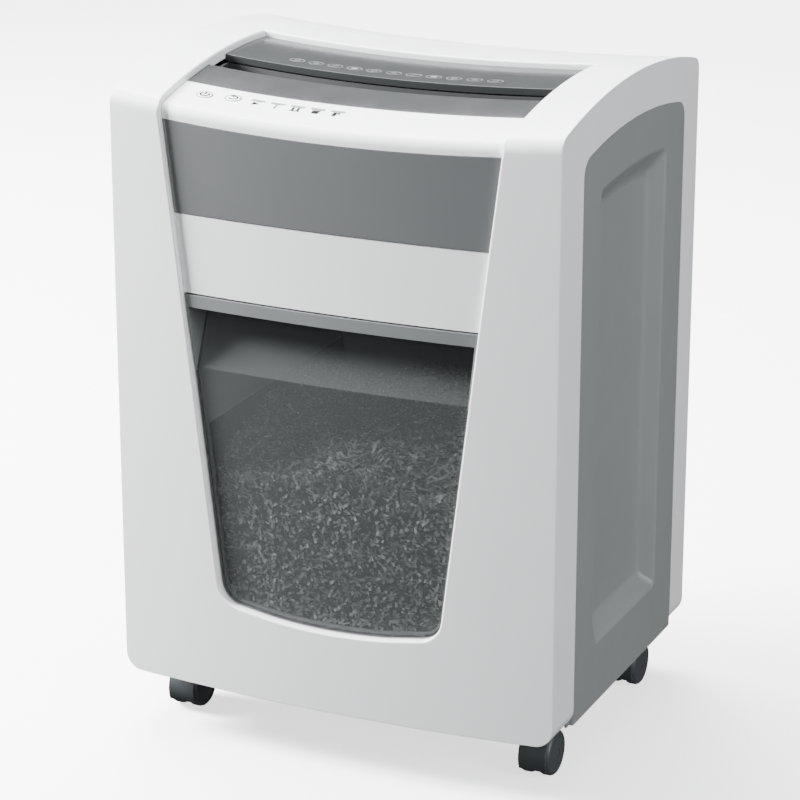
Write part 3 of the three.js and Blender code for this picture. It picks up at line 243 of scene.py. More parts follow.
def arch_height(y, drop=0.0):
    """Height of the arched top at a depth, measured a drop below the surface."""
    cabinet = settings().cabinet
    half = depth() / 2
    radius = (half**2 + cabinet.arch_rise**2) / (2 * cabinet.arch_rise)
    crown = cabinet.side_height + cabinet.arch_rise
    return crown - radius + math.sqrt((radius - drop) ** 2 - (y - half) ** 2)


def arch_line(start, end, drop=0.0, steps=8):
    """Points along the arched top from one depth to another."""
    places = [start + (end - start) * step / steps for step in range(steps + 1)]
    return [(y, arch_height(y, drop)) for y in places]


def opening_half(z):
    """Half width of the front opening at a height."""
    cabinet = settings().cabinet
    return cabinet.opening_width / 2 - cabinet.opening_taper * max(cabinet.side_height - z, 0)


def fade(value, start, end):
    return min(max((value - start) / (end - start), 0), 1)


def bow_moves(x, y, z, straight_below=None):
    """How far forward and how far down the bowed front carries a point."""
    cabinet = settings().cabinet
    across = max(1 - (x / half_width) ** 2, 0)
    deep = 1 if straight_below is None else fade(z, straight_below, settings().head.band_top)
    back_start = cabinet.opening_back + 0.020
    forward = cabinet.bulge * across * (1 - fade(y, back_start, depth() - 0.010)) * deep
    down = cabinet.sag * across * fade(z, cabinet.sag_start, settings().head.band_top) * deep
    return forward, down


# ---------------------------------------------------------------- outlines


def rounded(corners, steps=6):
    """The outline through the corners, each one with a radius turned into an arc."""
    points = []
    for index, corner in enumerate(corners):
        here = Vector(corner[:2])
        if len(corner) < 3 or corner[2] <= 0:
            points.append(tuple(here))
            continue
        before = (Vector(corners[index - 1][:2]) - here).normalized()
        after = (Vector(corners[(index + 1) % len(corners)][:2]) - here).normalized()
        half = before.angle(after) / 2
        centre = here + (before + after).normalized() * corner[2] / math.sin(half)
        start = here + before * corner[2] / math.tan(half) - centre
        end = here + after * corner[2] / math.tan(half) - centre
        first = math.atan2(start.y, start.x)
        sweep = (math.atan2(end.y, end.x) - first + math.pi) % (2 * math.pi) - math.pi
        for step in range(steps + 1):
            angle = first + sweep * step / steps
            points.append((centre.x + corner[2] * math.cos(angle), centre.y + corner[2] * math.sin(angle)))
    return points


def opening_outline(inset, top):
    """Front outline of the opening, offset inwards and cut off level at a height."""
    cabinet = settings().cabinet
    radius = cabinet.opening_floor_radius - inset

    def floor_at(x):
        return cabinet.opening_bottom + cabinet.opening_floor_radius - math.sqrt(radius**2 - x**2)

    corner_z = floor_at(opening_half(cabinet.opening_bottom) - inset)
    corner_x = opening_half(corner_z) - inset
    corner_radius = max(0.002, cabinet.opening_corner - inset)
    corners = [(-corner_x, corner_z, corner_radius)]
    steps = 16
    for step in range(1, steps):
        share = (2 * step / steps - 1) * 0.62
        corners.append((corner_x * share, floor_at(corner_x * share)))
    corners.append((corner_x, corner_z, corner_radius))
    if top > cabinet.side_height:
        corners.append((opening_half(cabinet.side_height) - inset, cabinet.side_height))
    corners.append((opening_half(top) - inset, top))
    corners.append((-opening_half(top) + inset, top))
    if top > cabinet.side_height:
        corners.append((-opening_half(cabinet.side_height) + inset, cabinet.side_height))
    return rounded(corners, 10)


def cabinet_side(inset, bottom, front_radius, back_radius):
    """Side outline of the cabinet, offset inwards."""
    front, back = inset, depth() - inset
    line = arch_line(back, front, inset, 28)
    corners = [(front, bottom), (back, bottom), (*line[0], back_radius)]
    corners += [point for point in line[1:-1] if front + 0.018 < point[0] < back - 0.018]
    corners.append((*line[-1], front_radius))
    return rounded(corners, 8)


def panel_outline(inset, bottom=-0.010):
    """Side outline of a side panel, offset inwards."""
    cabinet = settings().cabinet
    front = cabinet.panel_front + inset
    back = depth() - cabinet.panel_to_back - inset
    line = arch_line(back, front, cabinet.panel_drop + inset, 12)
    radius = cabinet.panel_radius - inset
    corners = [(front, bottom), (back, bottom), (*line[0], radius)]
    corners += line[2:-2]
    corners.append((*line[-1], radius))
    return rounded(corners, 8)


def recess_outline(front, back, bottom, top):
    """Side outline of the recess, with an inset for each of its four walls."""
    cabinet = settings().cabinet
    y0 = cabinet.recess_front + front
    y1 = depth() - cabinet.recess_to_back - back
    z0 = cabinet.recess_bottom + bottom
    z1 = cabinet.recess_top - top
    middle = (y0 + y1) / 2
    crown = [(middle + (y1 - middle) * share, z1 + 0.004 * (1 - share**2))
             for share in (0.75, 0.5, 0.25, 0, -0.25, -0.5, -0.75)]
    return rounded([(y0 + 0.009, z0, 0.003), (y1, z0, 0.005), (y1, z1, 0.007), *crown, (y0, z1, 0.007),
                    (y0, z0 + 0.028, 0.004)], 5)


def oval(x, y, a, b, sides=32):
    """Outline of an oval."""
    angles = [2 * math.pi * side / sides for side in range(sides)]
    return [(x + a * math.cos(angle), y + b * math.sin(angle)) for angle in angles]


def rectangle(u0, u1, v0, v1, radius=0.0):
    return rounded([(u0, v0, radius), (u1, v0, radius), (u1, v1, radius), (u0, v1, radius)], 4)


# ---------------------------------------------------------------- modelling


def pick(*pieces):
    """Selects only these pieces, the first of them active."""
    if bpy.context.object and bpy.context.object.mode != "OBJECT":
        bpy.ops.object.mode_set(mode="OBJECT")
    bpy.ops.object.select_all(action="DESELECT")
    for piece in pieces:
        piece.select_set(True)
    if pieces:
        bpy.context.view_layer.objects.active = pieces[0]


def edit(piece, choose="SELECT"):
    """Goes into edit mode on one piece, with all of it selected or none."""
    pick(piece)
    bpy.ops.object.mode_set(mode="EDIT")
    bpy.ops.mesh.select_all(action=choose)


def done():
    bpy.ops.object.mode_set(mode="OBJECT")


def named(piece, name):
    """Gives a piece and its mesh one name."""
    piece.name = piece.data.name = name
    return piece


def outline_start(name, points, place_of):
    """A flat face through outline points, each set down by a function of its coordinates."""
    pick()
    bpy.ops.mesh.primitive_circle_add(vertices=len(points), fill_type="NGON")
    piece = named(bpy.context.object, name)
    for vertex, point in zip(piece.data.vertices, points):
        vertex.co = place_of(*point)
    return piece


def face_outwards(piece):
    edit(piece)
    bpy.ops.mesh.normals_make_consistent(inside=False)
    done()
    return piece


def spot(axis, u, v, at):
    """The point with two outline coordinates and a place along the axis square to them."""
    return {"X": (at, u, v), "Y": (u, at, v), "Z": (u, v, at)}[axis]


def prism(name, points, axis, start, end, end_points=None):
    """A solid between two places on an axis, with one outline or a second one at its end."""
    piece = outline_start(name, points, lambda u, v: spot(axis, u, v, start))
    edit(piece)
    bpy.ops.mesh.extrude_region_move(TRANSFORM_OT_translate={"value": spot(axis, 0, 0, end - start)})
    done()
    if end_points:
        moved = [vertex for vertex in piece.data.vertices if vertex.select]
        for vertex, (u, v) in zip(moved, end_points):
            vertex.co = spot(axis, u, v, end)
    return face_outwards(piece)


def loft(name, axis, sections):
    """A solid through outlines with the same number of points, each at its place on an axis."""
    along = "XYZ".index(axis)
    piece = outline_start(name, sections[0][1], lambda u, v: spot(axis, u, v, sections[0][0]))
    for (before, old), (place, points) in zip(sections, sections[1:]):
        edit(piece, "DESELECT")
        done()
        for polygon in piece.data.polygons:
            polygon.select = all(abs(piece.data.vertices[index].co[along] - before) < 1e-7
                                 for index in polygon.vertices)
        bpy.ops.object.mode_set(mode="EDIT")
        bpy.ops.mesh.extrude_region_move()
        done()
        corners = [Vector(spot(axis, u, v, before)) for u, v in old]
        for vertex in [vertex for vertex in piece.data.vertices if vertex.select]:
            nearest = min(range(len(old)), key=lambda index: (corners[index] - vertex.co).length)
            vertex.co = spot(axis, *points[nearest], place)
    return face_outwards(piece)


def block(name, x0, x1, y0, y1, z0, z1):
    """A box between six places."""
    return prism(name, [(x0, z0), (x1, z0), (x1, z1), (x0, z1)], "Y", y0, y1)


def modify(piece, kind, **values):
    """Adds a modifier with its values and applies it."""
    pick(piece)
    bpy.ops.object.modifier_add(type=kind)
    modifier = piece.modifiers[-1]
    for name, value in values.items():
        setattr(modifier, name, value)
    bpy.ops.object.modifier_apply(modifier=modifier.name)
    return piece


def combine(piece, others, how):
    """Cuts other solids from a piece, joins them to it, or keeps what they share."""
    for other in others:
        modify(piece, "BOOLEAN", operation=how, object=other, solver="EXACT")
        bpy.data.objects.remove(other)
    return piece


def cut(piece, *others):
    return combine(piece, others, "DIFFERENCE")


def join(piece, *others):
    return combine(piece, others, "UNION")


def keep(piece, *others):
    return combine(piece, others, "INTERSECT")


def select_edges(piece, test):
    """Selects the edges whose two ends pass the test, and stays in edit mode."""
    edit(piece, "DESELECT")
    bpy.ops.mesh.select_mode(type="EDGE")
    done()
    points = [tuple(vertex.co) for vertex in piece.data.vertices]
    for edge in piece.data.edges:
        edge.select = test(*[points[index] for index in edge.vertices])
    bpy.ops.object.mode_set(mode="EDIT")


def round_selected(piece, test, radius, segments=3):
    """Rounds the edges that pass the test."""
    select_edges(piece, test)
    bpy.ops.mesh.bevel(offset=radius, segments=segments, affect="EDGES", clamp_overlap=False)
    done()
    return piece


def round_sharp(piece, radius, segments=3, angle=40):
    """Rounds every edge that is sharper than an angle."""
    return modify(piece, "BEVEL", width=radius, segments=segments, limit_method="ANGLE",
                  angle_limit=math.radians(angle), use_clamp_overlap=True)


def divide(piece, axis, places):
    """Cuts extra edges through a piece, square to an axis, so that it can bend there."""
    edit(piece)
    for place in places:
        bpy.ops.mesh.select_all(action="SELECT")
        bpy.ops.mesh.bisect(plane_co=spot(axis, 0, 0, place), plane_no=spot(axis, 0, 0, 1))
    done()
    return piece


def carry(piece, straight_below=None):
    """Moves a piece's points forward and down with the bowed front."""
    for vertex in piece.data.vertices:
        forward, down = bow_moves(*vertex.co, straight_below)
        vertex.co.y -= forward
        vertex.co.z -= down
    return piece


def bow(piece, straight_below=None, spacing=0.010):
    """Bows a piece forward and down with the front of the cabinet."""
    reach = max(abs(vertex.co.x) for vertex in piece.data.vertices)
    count = int(reach / spacing)
    divide(piece, "X", [step * spacing for step in range(-count, count + 1)])
    divide(piece, "Z", [settings().cabinet.sag_start, settings().head.band_top])
    return carry(piece, straight_below)


def mirrored(piece, name):
    """A copy of a piece on the other side of the cabinet."""
    pick(piece)
    bpy.ops.object.duplicate()
    copy = named(bpy.context.object, name)
    for vertex in copy.data.vertices:
        vertex.co.x = -vertex.co.x
    edit(copy)
    bpy.ops.mesh.flip_normals()
    done()
    return copy


# Loose particles are heavier than this and have no rounded edges whose shading needs evening out.
MOST_EVENED_FACES = 40000


def finish(piece, body, slot, nodes=(), look=None, at=(0, 0, 0), angle=32):
    """Sets a piece down on the frame with its material, and hides the CAD nodes it stands for."""
    shift = Vector((at[0], at[1] + front_place(), at[2] + floor_height))
    edit(piece)
    bpy.ops.mesh.remove_doubles(threshold=1e-6)
    bpy.ops.mesh.dissolve_degenerate(threshold=1e-6)
    bpy.ops.mesh.select_all(action="SELECT")
    bpy.ops.mesh.normals_make_consistent(inside=False)
    done()
    piece.data.transform(Matrix.Translation(shift))
    pick(piece)
    bpy.ops.object.shade_smooth_by_angle(angle=math.radians(angle))
    if len(piece.data.polygons) < MOST_EVENED_FACES:
        modify(piece, "WEIGHTED_NORMAL", keep_sharp=True)
    piece.data.materials.clear()
    piece.data.materials.append(material_of(look or LOOK_OF_SLOT[slot]))
    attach(piece, body)
    if nodes:
        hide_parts(*nodes)
    return piece


# ---------------------------------------------------------------- materials


def new_material(name, base, roughness, metallic=0.0):
    """A material with its shader, whose even values are set on the shader itself."""
    material = bpy.data.materials.new(name)
    material.use_nodes = True
    shader = material.node_tree.nodes["Principled BSDF"]
    shader.inputs["Base Color"].default_value = (*base, 1)
    shader.inputs["Roughness"].default_value = roughness
    shader.inputs["Metallic"].default_value = metallic
    return material, shader


def add_node(material, kind, **inputs):
    """A node with its unlinked inputs set by name."""
    node = material.node_tree.nodes.new(kind)
    for name, value in inputs.items():
        node.inputs[name.replace("_", " ")].default_value = value
    return node


def connect(material, source, target):
    material.node_tree.links.new(source, target)


def object_noise(material, scale, detail=2.0, stretch=(1, 1, 1)):
    """Noise over the object's own coordinates."""
    place = add_node(material, "ShaderNodeTexCoord")
    mapping = add_node(material, "ShaderNodeMapping", Scale=stretch)
    noise = add_node(material, "ShaderNodeTexNoise", Scale=scale, Detail=detail)
    connect(material, place.outputs["Object"], mapping.inputs["Vector"])
    connect(material, mapping.outputs["Vector"], noise.inputs["Vector"])
    return noise


def ramp_between(material, source, low, high, start=0.3, end=0.7):
    """A smooth change between two colours."""
    ramp = material.node_tree.nodes.new("ShaderNodeValToRGB")
    ramp.color_ramp.elements[0].position = start
    ramp.color_ramp.elements[0].color = (*low, 1)
    ramp.color_ramp.elements[1].position = end
    ramp.color_ramp.elements[1].color = (*high, 1)
    connect(material, source, ramp.inputs["Fac"])
    return ramp


def shaded(base, share):
    return tuple(min(channel * share, 1) for channel in base)


def add_mottle(material, shader, base, spread, scale):
    """Slow, faint changes of colour over the surface."""
    noise = object_noise(material, scale)
    ramp = ramp_between(material, noise.outputs["Fac"], shaded(base, 1 - spread), shaded(base, 1 + spread))
    connect(material, ramp.outputs["Color"], shader.inputs["Base Color"])


def add_gloss_change(material, shader, low, high, scale):
    """Roughness that wanders between two values."""
    noise = object_noise(material, scale)
    span = add_node(material, "ShaderNodeMapRange", From_Min=0.3, From_Max=0.7, To_Min=low, To_Max=high)
    connect(material, noise.outputs["Fac"], span.inputs["Value"])
    connect(material, span.outputs["Result"], shader.inputs["Roughness"])


def add_grain(material, shader, scale, strength, stretch=(1, 1, 1), distance=0.0001):
    """Fine moulded or drawn grain."""
    noise = object_noise(material, scale, 3.0, stretch)
    bump = add_node(material, "ShaderNodeBump", Strength=strength, Distance=distance)
    connect(material, noise.outputs["Fac"], bump.inputs["Height"])
    connect(material, bump.outputs["Normal"], shader.inputs["Normal"])


def surface(name, base, roughness, metallic=0.0, mottle=None, gloss=None, grain=None, **even):
    """A material with optional changes of colour and gloss, grain, and even values by input name."""
    material, shader = new_material(name, base, roughness, metallic)
    if mottle:
        add_mottle(material, shader, base, *mottle)
    if gloss:
        add_gloss_change(material, shader, *gloss)
    if grain:
        add_grain(material, shader, *grain)
    for label, value in even.items():
        shader.inputs[label.replace("_", " ")].default_value = value
    return material


def moulded(name, base, roughness, grain=0.25, grain_scale=1400, mottle=0.015, **even):
    """Satin moulded plastic with fine grain."""
    return surface(name, base, roughness, mottle=(mottle, 9), gloss=(roughness - 0.04, roughness + 0.05, 24),
                   grain=(grain_scale, grain), **even)


def cut_paper(name, base):
    """Cut paper, each particle with its own shade."""
    material, shader = new_material(name, base, 0.85)
    shade = material.node_tree.nodes.new("ShaderNodeAttribute")
    shade.attribute_name = "shade"
    ramp = ramp_between(material, shade.outputs["Fac"], shaded(base, 0.10), shaded(base, 1.30), 0.05, 0.95)
    connect(material, ramp.outputs["Color"], shader.inputs["Base Color"])
    add_grain(material, shader, 2500, 0.3)
    return material


def recipes():
    """How each material is made, by its name."""
    tones = settings().finish
    return {
        "shell white": partial(moulded, base=tones.white, roughness=0.36, grain=0.12, Coat_Weight=0.12,
                               Coat_Roughness=0.2),
        "tub white": partial(moulded, base=tones.inner_white, roughness=0.5),
        "panel grey": partial(moulded, base=tones.dark_grey, roughness=0.42, grain=0.35, grain_scale=1800),
        "gloss grey": partial(surface, base=tones.gloss_grey, roughness=0.12, mottle=(0.02, 14),
                              gloss=(0.08, 0.13, 30), Coat_Weight=1.0, Coat_Roughness=0.03),
        "trim grey": partial(surface, base=tones.trim_grey, roughness=0.2, mottle=(0.03, 14),
                             gloss=(0.17, 0.24, 30), Specular_IOR_Level=0.22),
        "funnel grey": partial(moulded, base=tones.funnel_grey, roughness=0.5),
        "grip grey": partial(moulded, base=tones.grip_grey, roughness=0.34),
        "smoked window": partial(surface, base=tones.smoke, roughness=0.1, gloss=(0.06, 0.12, 20), Alpha=0.5,
                                 Specular_IOR_Level=0.6),
        "caster black": partial(moulded, base=tones.black, roughness=0.42, grain=0.3, mottle=0.05),
        "ground steel": partial(surface, base=(0.56, 0.57, 0.58), roughness=0.3, metallic=1.0,
                                mottle=(0.06, 40), gloss=(0.24, 0.4, 90), grain=(300, 0.2, (0.1, 4, 4))),
        "zinc plate": partial(surface, base=(0.66, 0.67, 0.67), roughness=0.42, metallic=1.0,
                              mottle=(0.1, 160), gloss=(0.3, 0.55, 220), grain=(500, 0.15)),
        "natural nylon": partial(moulded, base=(0.60, 0.58, 0.50), roughness=0.45, mottle=0.03,
                                 Subsurface_Weight=0.1),
        "circuit board": partial(surface, base=(0.02, 0.13, 0.06), roughness=0.35, mottle=(0.3, 420),
                                 grain=(700, 0.2)),
        "printed mark": partial(surface, base=(0.006, 0.007, 0.008), roughness=0.8, mottle=(0.08, 300),
                                Specular_IOR_Level=0.1),
        "outline print": partial(surface, base=(0.06, 0.064, 0.065), roughness=0.8, mottle=(0.06, 300),
                                 Specular_IOR_Level=0.1),
        "light print": partial(surface, base=(0.15, 0.155, 0.155), roughness=0.6, mottle=(0.06, 300)),
        # The heap's core under the loose particles: near-black paper that is painted shade between and behind
        # them.
        "packed paper": partial(surface, base=(0.07, 0.073, 0.073), roughness=0.95, mottle=(0.5, 240),
                                grain=(420, 1.0, (1, 1, 1), 0.002)),
        "cut paper": partial(cut_paper, base=tones.paper),
    }


LOOK_OF_SLOT = {
    "white_plastic": "shell white",
    "inner_white": "tub white",
    "dark_grey_plastic": "panel grey",
    "gloss_grey": "gloss grey",
    "grip_grey": "grip grey",
    "smoked_window": "smoked window",
    "black_plastic": "caster black",
    "steel": "ground steel",
    "zinc_steel": "zinc plate",
    "nylon": "natural nylon",
    "circuit_board": "circuit board",
    "cut_paper": "cut paper",
}
MATERIALS = {}


def material_of(look):
    """The one material with a look's name, made when it is first asked for."""
    if look not in MATERIALS:
        MATERIALS[look] = recipes()[look](look)
    return MATERIALS[look]


# ---------------------------------------------------------------- cabinet


def on_opening_rim(a, b):
    """Whether an edge runs along the rim of the front and top opening, on the shell's face."""
    cabinet = settings().cabinet
    side = cabinet.opening_width / 2
    near = 1e-5

    def on_front(point):
        x, y, z = point
        return abs(y) < near and abs(x) < side + near and 0.06 < z < cabinet.side_height

    def on_top(point):
        x, y, z = point
        at_side = abs(abs(x) - side) < near
        at_back = abs(y - cabinet.opening_back) < near and abs(x) < side + near
        return (at_side or at_back) and z > arch_height(y, 0.0002) and y < cabinet.opening_back + near

    def on_crease(point):
        x, y, z = point
        radius = cabinet.front_radius
        reach = math.hypot(y - radius, z - (arch_height(0) - radius))
        at_side = side - 0.003 < abs(x) < side + near
        return at_side and y < radius + 0.001 and abs(reach - radius) < 0.0012

    return all(on_front(p) or on_top(p) or on_crease(p) for p in (a, b))


def cabinet_block(name, inset=0.0, bottom=0.0):
    """The cabinet's outside, or a smaller one inside it."""
    cabinet = settings().cabinet
    half = half_width - inset
    side = cabinet_side(inset, bottom, cabinet.front_radius - inset, cabinet.back_radius - inset)
    body = prism(name, side, "X", -half, half)
    radius = cabinet.foot_radius - inset
    face = rounded([(-half, bottom, radius), (half, bottom, radius), (half, 0.6), (-half, 0.6)], 8)
    return keep(body, prism("face", face, "Y", -0.01, depth() + 0.01))


def build_shell():
    cabinet = settings().cabinet
    side = cabinet.opening_width / 2
    back = cabinet.opening_back
    lip_wall = 0.0025
    shell = round_sharp(cabinet_block("shell"), cabinet.edge_radius, 4, 60)
    hollow = cabinet_block("hollow", cabinet.wall, before_front)
    front_lip = prism("lip", opening_outline(-lip_wall, 0.54), "Y", before_front, cabinet.lip)
    over = arch_line(before_front, back + lip_wall, cabinet.lip, 16)
    top_lip = prism("lip", [*over, (back + lip_wall, above_all), (before_front, above_all)], "X",
                    -side - lip_wall, side + lip_wall)
    hollow = cut(hollow, front_lip, top_lip)
    front = prism("front", opening_outline(0, above_all), "Y", -0.03, 0.0125)
    top = block("top", -side, side, 0.012, back, 0.49, above_all)
    panels = prism("panels", panel_outline(0), "X", -half_width - 0.01, half_width + 0.01)
    rear = prism("rear", cover_outline(0), "Y", depth() - 0.01, depth() + 0.01)
    cut(shell, hollow, front, top, panels, rear)
    round_selected(shell, on_opening_rim, 0.0018, 4)
    bow(shell)
    divide(shell, "Y", [cabinet.opening_back + 0.02, depth() - 0.01])
    return finish(shell, "cabinet", "white_plastic", ["outer_shell"])


def recess_cutter(outer):
    """The recess's room, with a rounded mouth and a rounded turn from its walls to its floor."""
    cabinet = settings().cabinet
    deep = cabinet.recess_depth
    mouth, turn = 0.0016, 0.0040
    full_slants = (0.007, 0.009, 0.012, 0.020)

    def section(at, inset):
        return outer - at, recess_outline(*[slant * (at / deep) + inset for slant in full_slants])

    sections = [(outer + 0.004, recess_outline(-mouth, -mouth, -mouth, -mouth))]
    for step in range(5):
        angle = math.radians(90 * step / 4)
        sections.append(section(mouth * (1 - math.cos(angle)), -mouth * (1 - math.sin(angle))))
    for step in range(6):
        angle = math.radians(90 * step / 5)
        sections.append(section(deep - turn * (1 - math.sin(angle)), turn * (1 - math.cos(angle))))
    return loft("recess", "X", sections)


def build_side_panels():
    cabinet = settings().cabinet
    outer = half_width
    plate = prism("side_panel_right_cover", panel_outline(cabinet.gap, 0.001), "X", outer - 0.003, outer)
    round_selected(plate, lambda a, b: min(a[0], b[0]) > outer - 1e-6, 0.0006, 2)
    neck = prism("neck", panel_outline(cabinet.gap, 0.001), "X", outer - 0.0055, outer - 0.002)
    flange = prism("flange", panel_outline(-0.006, 0.001), "X", outer - 0.0055, outer - 0.0036)
    mouth = recess_outline(-0.0025, -0.0025, -0.0025, -0.0025)
    floor = recess_outline(0.0045, 0.0065, 0.0095, 0.0175)
    dish = prism("dish", mouth, "X", outer - 0.002, outer - cabinet.recess_depth - 0.0025, floor)
    join(plate, neck, flange, dish)
    cut(plate, recess_cutter(outer))
    left = mirrored(plate, "side_panel_left_cover")
    for piece, node in ((plate, "side_panel_right"), (left, "side_panel_left")):
        finish(piece, "cabinet", "dark_grey_plastic", [node])


def cover_outline(inset):
    """Outline of the rear cover, as wide and high as its CAD node."""
    low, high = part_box("rear_cover")
    x = high.x - 0.005 - inset
    bottom = low.z - floor_height + 0.005 + inset
    top = high.z - floor_height - 0.005 - inset
    radius = 0.010 - inset
    return rounded([(-x, bottom, radius), (x, bottom, radius), (x, top, radius), (-x, top, radius)], 6)


def build_rear_cover():
    outside = depth() - 0.0004
    cover = prism("rear_cover_plate", cover_outline(0.0004), "Y", outside - 0.0025, outside)
    round_selected(cover, lambda a, b: min(a[1], b[1]) > outside - 1e-6, 0.0007, 2)
    neck = prism("neck", cover_outline(0.0004), "Y", outside - 0.0042, outside - 0.001)
    flange = prism("flange", cover_outline(-0.005), "Y", depth() - 0.0054, depth() - 0.0034)
    join(cover, neck, flange)
    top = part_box("rear_cover")[1].z - floor_height - 0.005
    for row in range(5):
        z = top - 0.060 - row * 0.012
        for x in (-0.060, 0.060):
            slot = rectangle(x - 0.040, x + 0.040, z, z + 0.005, 0.0024)
            cut(cover, prism("vent", slot, "Y", depth() - 0.02, depth() + 0.01))
    for number in range(1, 5):
        low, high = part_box(f"rear_cover_screw_{number}")
        x, z = (low.x + high.x) / 2, (low.z + high.z) / 2 - floor_height
        cut(cover, prism("seat", oval(x, z, 0.0044, 0.0044), "Y", outside - 0.002, depth() + 0.01))
        cut(cover, prism("hole", oval(x, z, 0.0024, 0.0024, 20), "Y", outside - 0.02, depth() + 0.01))
    low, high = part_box("mains_inlet")
    hole = rectangle(low.x - 0.0004, high.x + 0.0004, low.z - floor_height - 0.0004,
                     high.z - floor_height + 0.0004)
    cut(cover, prism("hole", hole, "Y", depth() - 0.02, depth() + 0.01))
    finish(cover, "cabinet", "dark_grey_plastic", ["rear_cover"])


# ---------------------------------------------------------------- head


def cover_profile(back, bottom, wall):
    """Side outline of the head cover: up the front, over the crease and back along the top."""
    head = settings().head
    outer = arch_line(head.drop, back, head.drop, 6)
    inner = arch_line(back, head.drop + wall, head.drop + wall, 6)
    return rounded([(head.drop, bottom), (*outer[0], head.crease), *outer[2:], *inner[:-2],
                    (*inner[-1], head.crease - wall), (head.drop + wall, bottom)], 8)


def build_head_cover():
    cabinet, head = settings().cabinet, settings().head
    profile = cover_profile(head.strip_back, head.bottom, head.cover_wall)
    cover = prism("head_cover", profile, "X", -half_width, half_width)
    keep(cover, prism("outline", opening_outline(cabinet.gap, 0.54), "Y", -0.02, 0.06))
    round_sharp(cover, 0.0007, 2, 50)
    pocket = block("pocket", -half_width, half_width, -0.02, head.drop + head.band_thickness + cabinet.gap,
                   head.band_bottom, head.band_top)
    a, b = head.button_size[0] + 0.0004, head.button_size[1] + 0.0004
    holes = [prism("hole", oval(*seat, a, b), "Z", 0.47, 0.54)
             for seat in (head.power_seat, head.reverse_seat)]
    for x in lens_places():
        a, b = head.lens_size[0] / 2 + 0.0003, head.lens_size[1] / 2 + 0.0003
        slot = rectangle(x - a, x + a, head.lens_back - b, head.lens_back + b, 0.0005)
        holes.append(prism("hole", slot, "Z", 0.47, 0.54))
    cut(cover, pocket, *holes)
    bow(cover)
    finish(cover, "cabinet", "white_plastic", ["head_front_cover"])


def build_front_band():
    cabinet, head = settings().cabinet, settings().head
    front = head.drop - 0.0003
    band = prism("front_band", opening_outline(cabinet.gap, 0.52), "Y", front, front + head.band_thickness)
    keep(band, block("part", -half_width, half_width, -0.02, 0.02, head.band_bottom + cabinet.gap,
                     head.band_top - cabinet.gap))
    round_selected(band, lambda a, b: max(a[1], b[1]) < front + 1e-6, 0.0004, 2)
    bow(band, spacing=0.008)
    finish(band, "cabinet", "gloss_grey", ["front_trim_band"])


def build_top_trims():
    """Two plates that follow the top, each with a lip that turns down into the feed slot."""
    cabinet, head = settings().cabinet, settings().head
    half = cabinet.opening_width / 2 - cabinet.gap
    drop, plate, lip = head.drop, head.trim_plate, 0.0025
    y0, y1 = head.strip_back + cabinet.gap, head.slot_front
    front = [*arch_line(y0, y1, drop, 8), (y1, arch_height(y1, drop) - head.lip_depth),
             (y1 - lip, arch_height(y1, drop) - head.lip_depth), *arch_line(y1 - lip, y0, drop + plate, 8)]
    y2, y3 = head.slot_back, cabinet.opening_back - cabinet.gap
    rear = [*arch_line(y2, y3, drop, 12), *arch_line(y3, y2 + lip, drop + plate, 12),
            (y2 + lip, arch_height(y2, drop) - head.lip_depth), (y2, arch_height(y2, drop) - head.lip_depth)]
    trims = (("front_trim", front, "top_trim_front"), ("rear_trim", rear, "top_trim_rear"))
    for name, profile, node in trims:
        trim = prism(name, profile, "X", -half, half)
        round_sharp(trim, 0.0006, 3, 50)
        bow(trim, spacing=0.008)
        finish(trim, "cabinet", "gloss_grey", [node], "trim grey")


def build_feed_guide():
    cabinet, head = settings().cabinet, settings().head
    wall, bottom = head.guide_wall, head.guide_bottom
    front_top = arch_height(head.slot_front, head.drop) - head.lip_depth - 2 * cabinet.gap
    back_top = arch_height(head.slot_back, head.drop) - head.lip_depth - 2 * cabinet.gap
    low, high = head.throat_middle - head.throat / 2, head.throat_middle + head.throat / 2
    reach = cabinet.opening_width / 2 - 0.001
    outside = rounded([(low - wall, bottom), (high + wall, bottom), (head.slot_back + wall, back_top),
                       (head.slot_front - wall, front_top)])
    above = back_top + 0.03
    inside = [(low, bottom - 0.01), (high, bottom - 0.01), (high, bottom), (head.slot_back, back_top),
              (head.slot_back, above), (head.slot_front, above), (head.slot_front, front_top), (low, bottom)]
    guide = prism("feed_funnel", outside, "X", -reach, reach)
    cut(guide, prism("way", inside, "X", -reach + wall, reach - wall))
    divide(guide, "Z", [bottom + 0.01 * step for step in range(1, 7)])
    bow(guide, straight_below=bottom)
    finish(guide, "cabinet", "dark_grey_plastic", ["feed_guide"], "funnel grey")


# ---------------------------------------------------------------- controls and marks


def lens_places():
    head = settings().head
    return [head.lens_first + index * head.lens_pitch for index in range(head.lens_count)]


def lay_on_top(piece, proud):
    """Moves a mark drawn at height 0 up onto the head's surface."""
    drop = settings().head.drop
    for vertex in piece.data.vertices:
        vertex.co.z += arch_height(vertex.co.y, drop) + proud
    return piece


def ring_shape(name, x, y, a, b, width, thickness=0.0001, sides=32, start=0, end=360):
    """A flat ring or part of one, drawn at height 0."""
    full = end - start >= 360
    count = sides if full else sides + 1
    angles = [math.radians(start + (end - start) * step / sides) for step in range(count)]
    outer = [(x + a * math.cos(t), y + b * math.sin(t)) for t in angles]
    inner = [(x + (a - width) * math.cos(t), y + (b - width) * math.sin(t)) for t in angles]
    if full:
        ring = prism(name, outer, "Z", 0, thickness)
        return cut(ring, prism("hole", inner, "Z", -thickness, 2 * thickness))
    return prism(name, outer + inner[::-1], "Z", 0, thickness)


def flat_shape(name, points, thickness=0.0001):
    return prism(name, points, "Z", 0, thickness)


def merge(name, pieces):
    """Several separate shapes as one piece."""
    pick(*pieces)
    bpy.ops.object.join()
    return named(pieces[0], name)


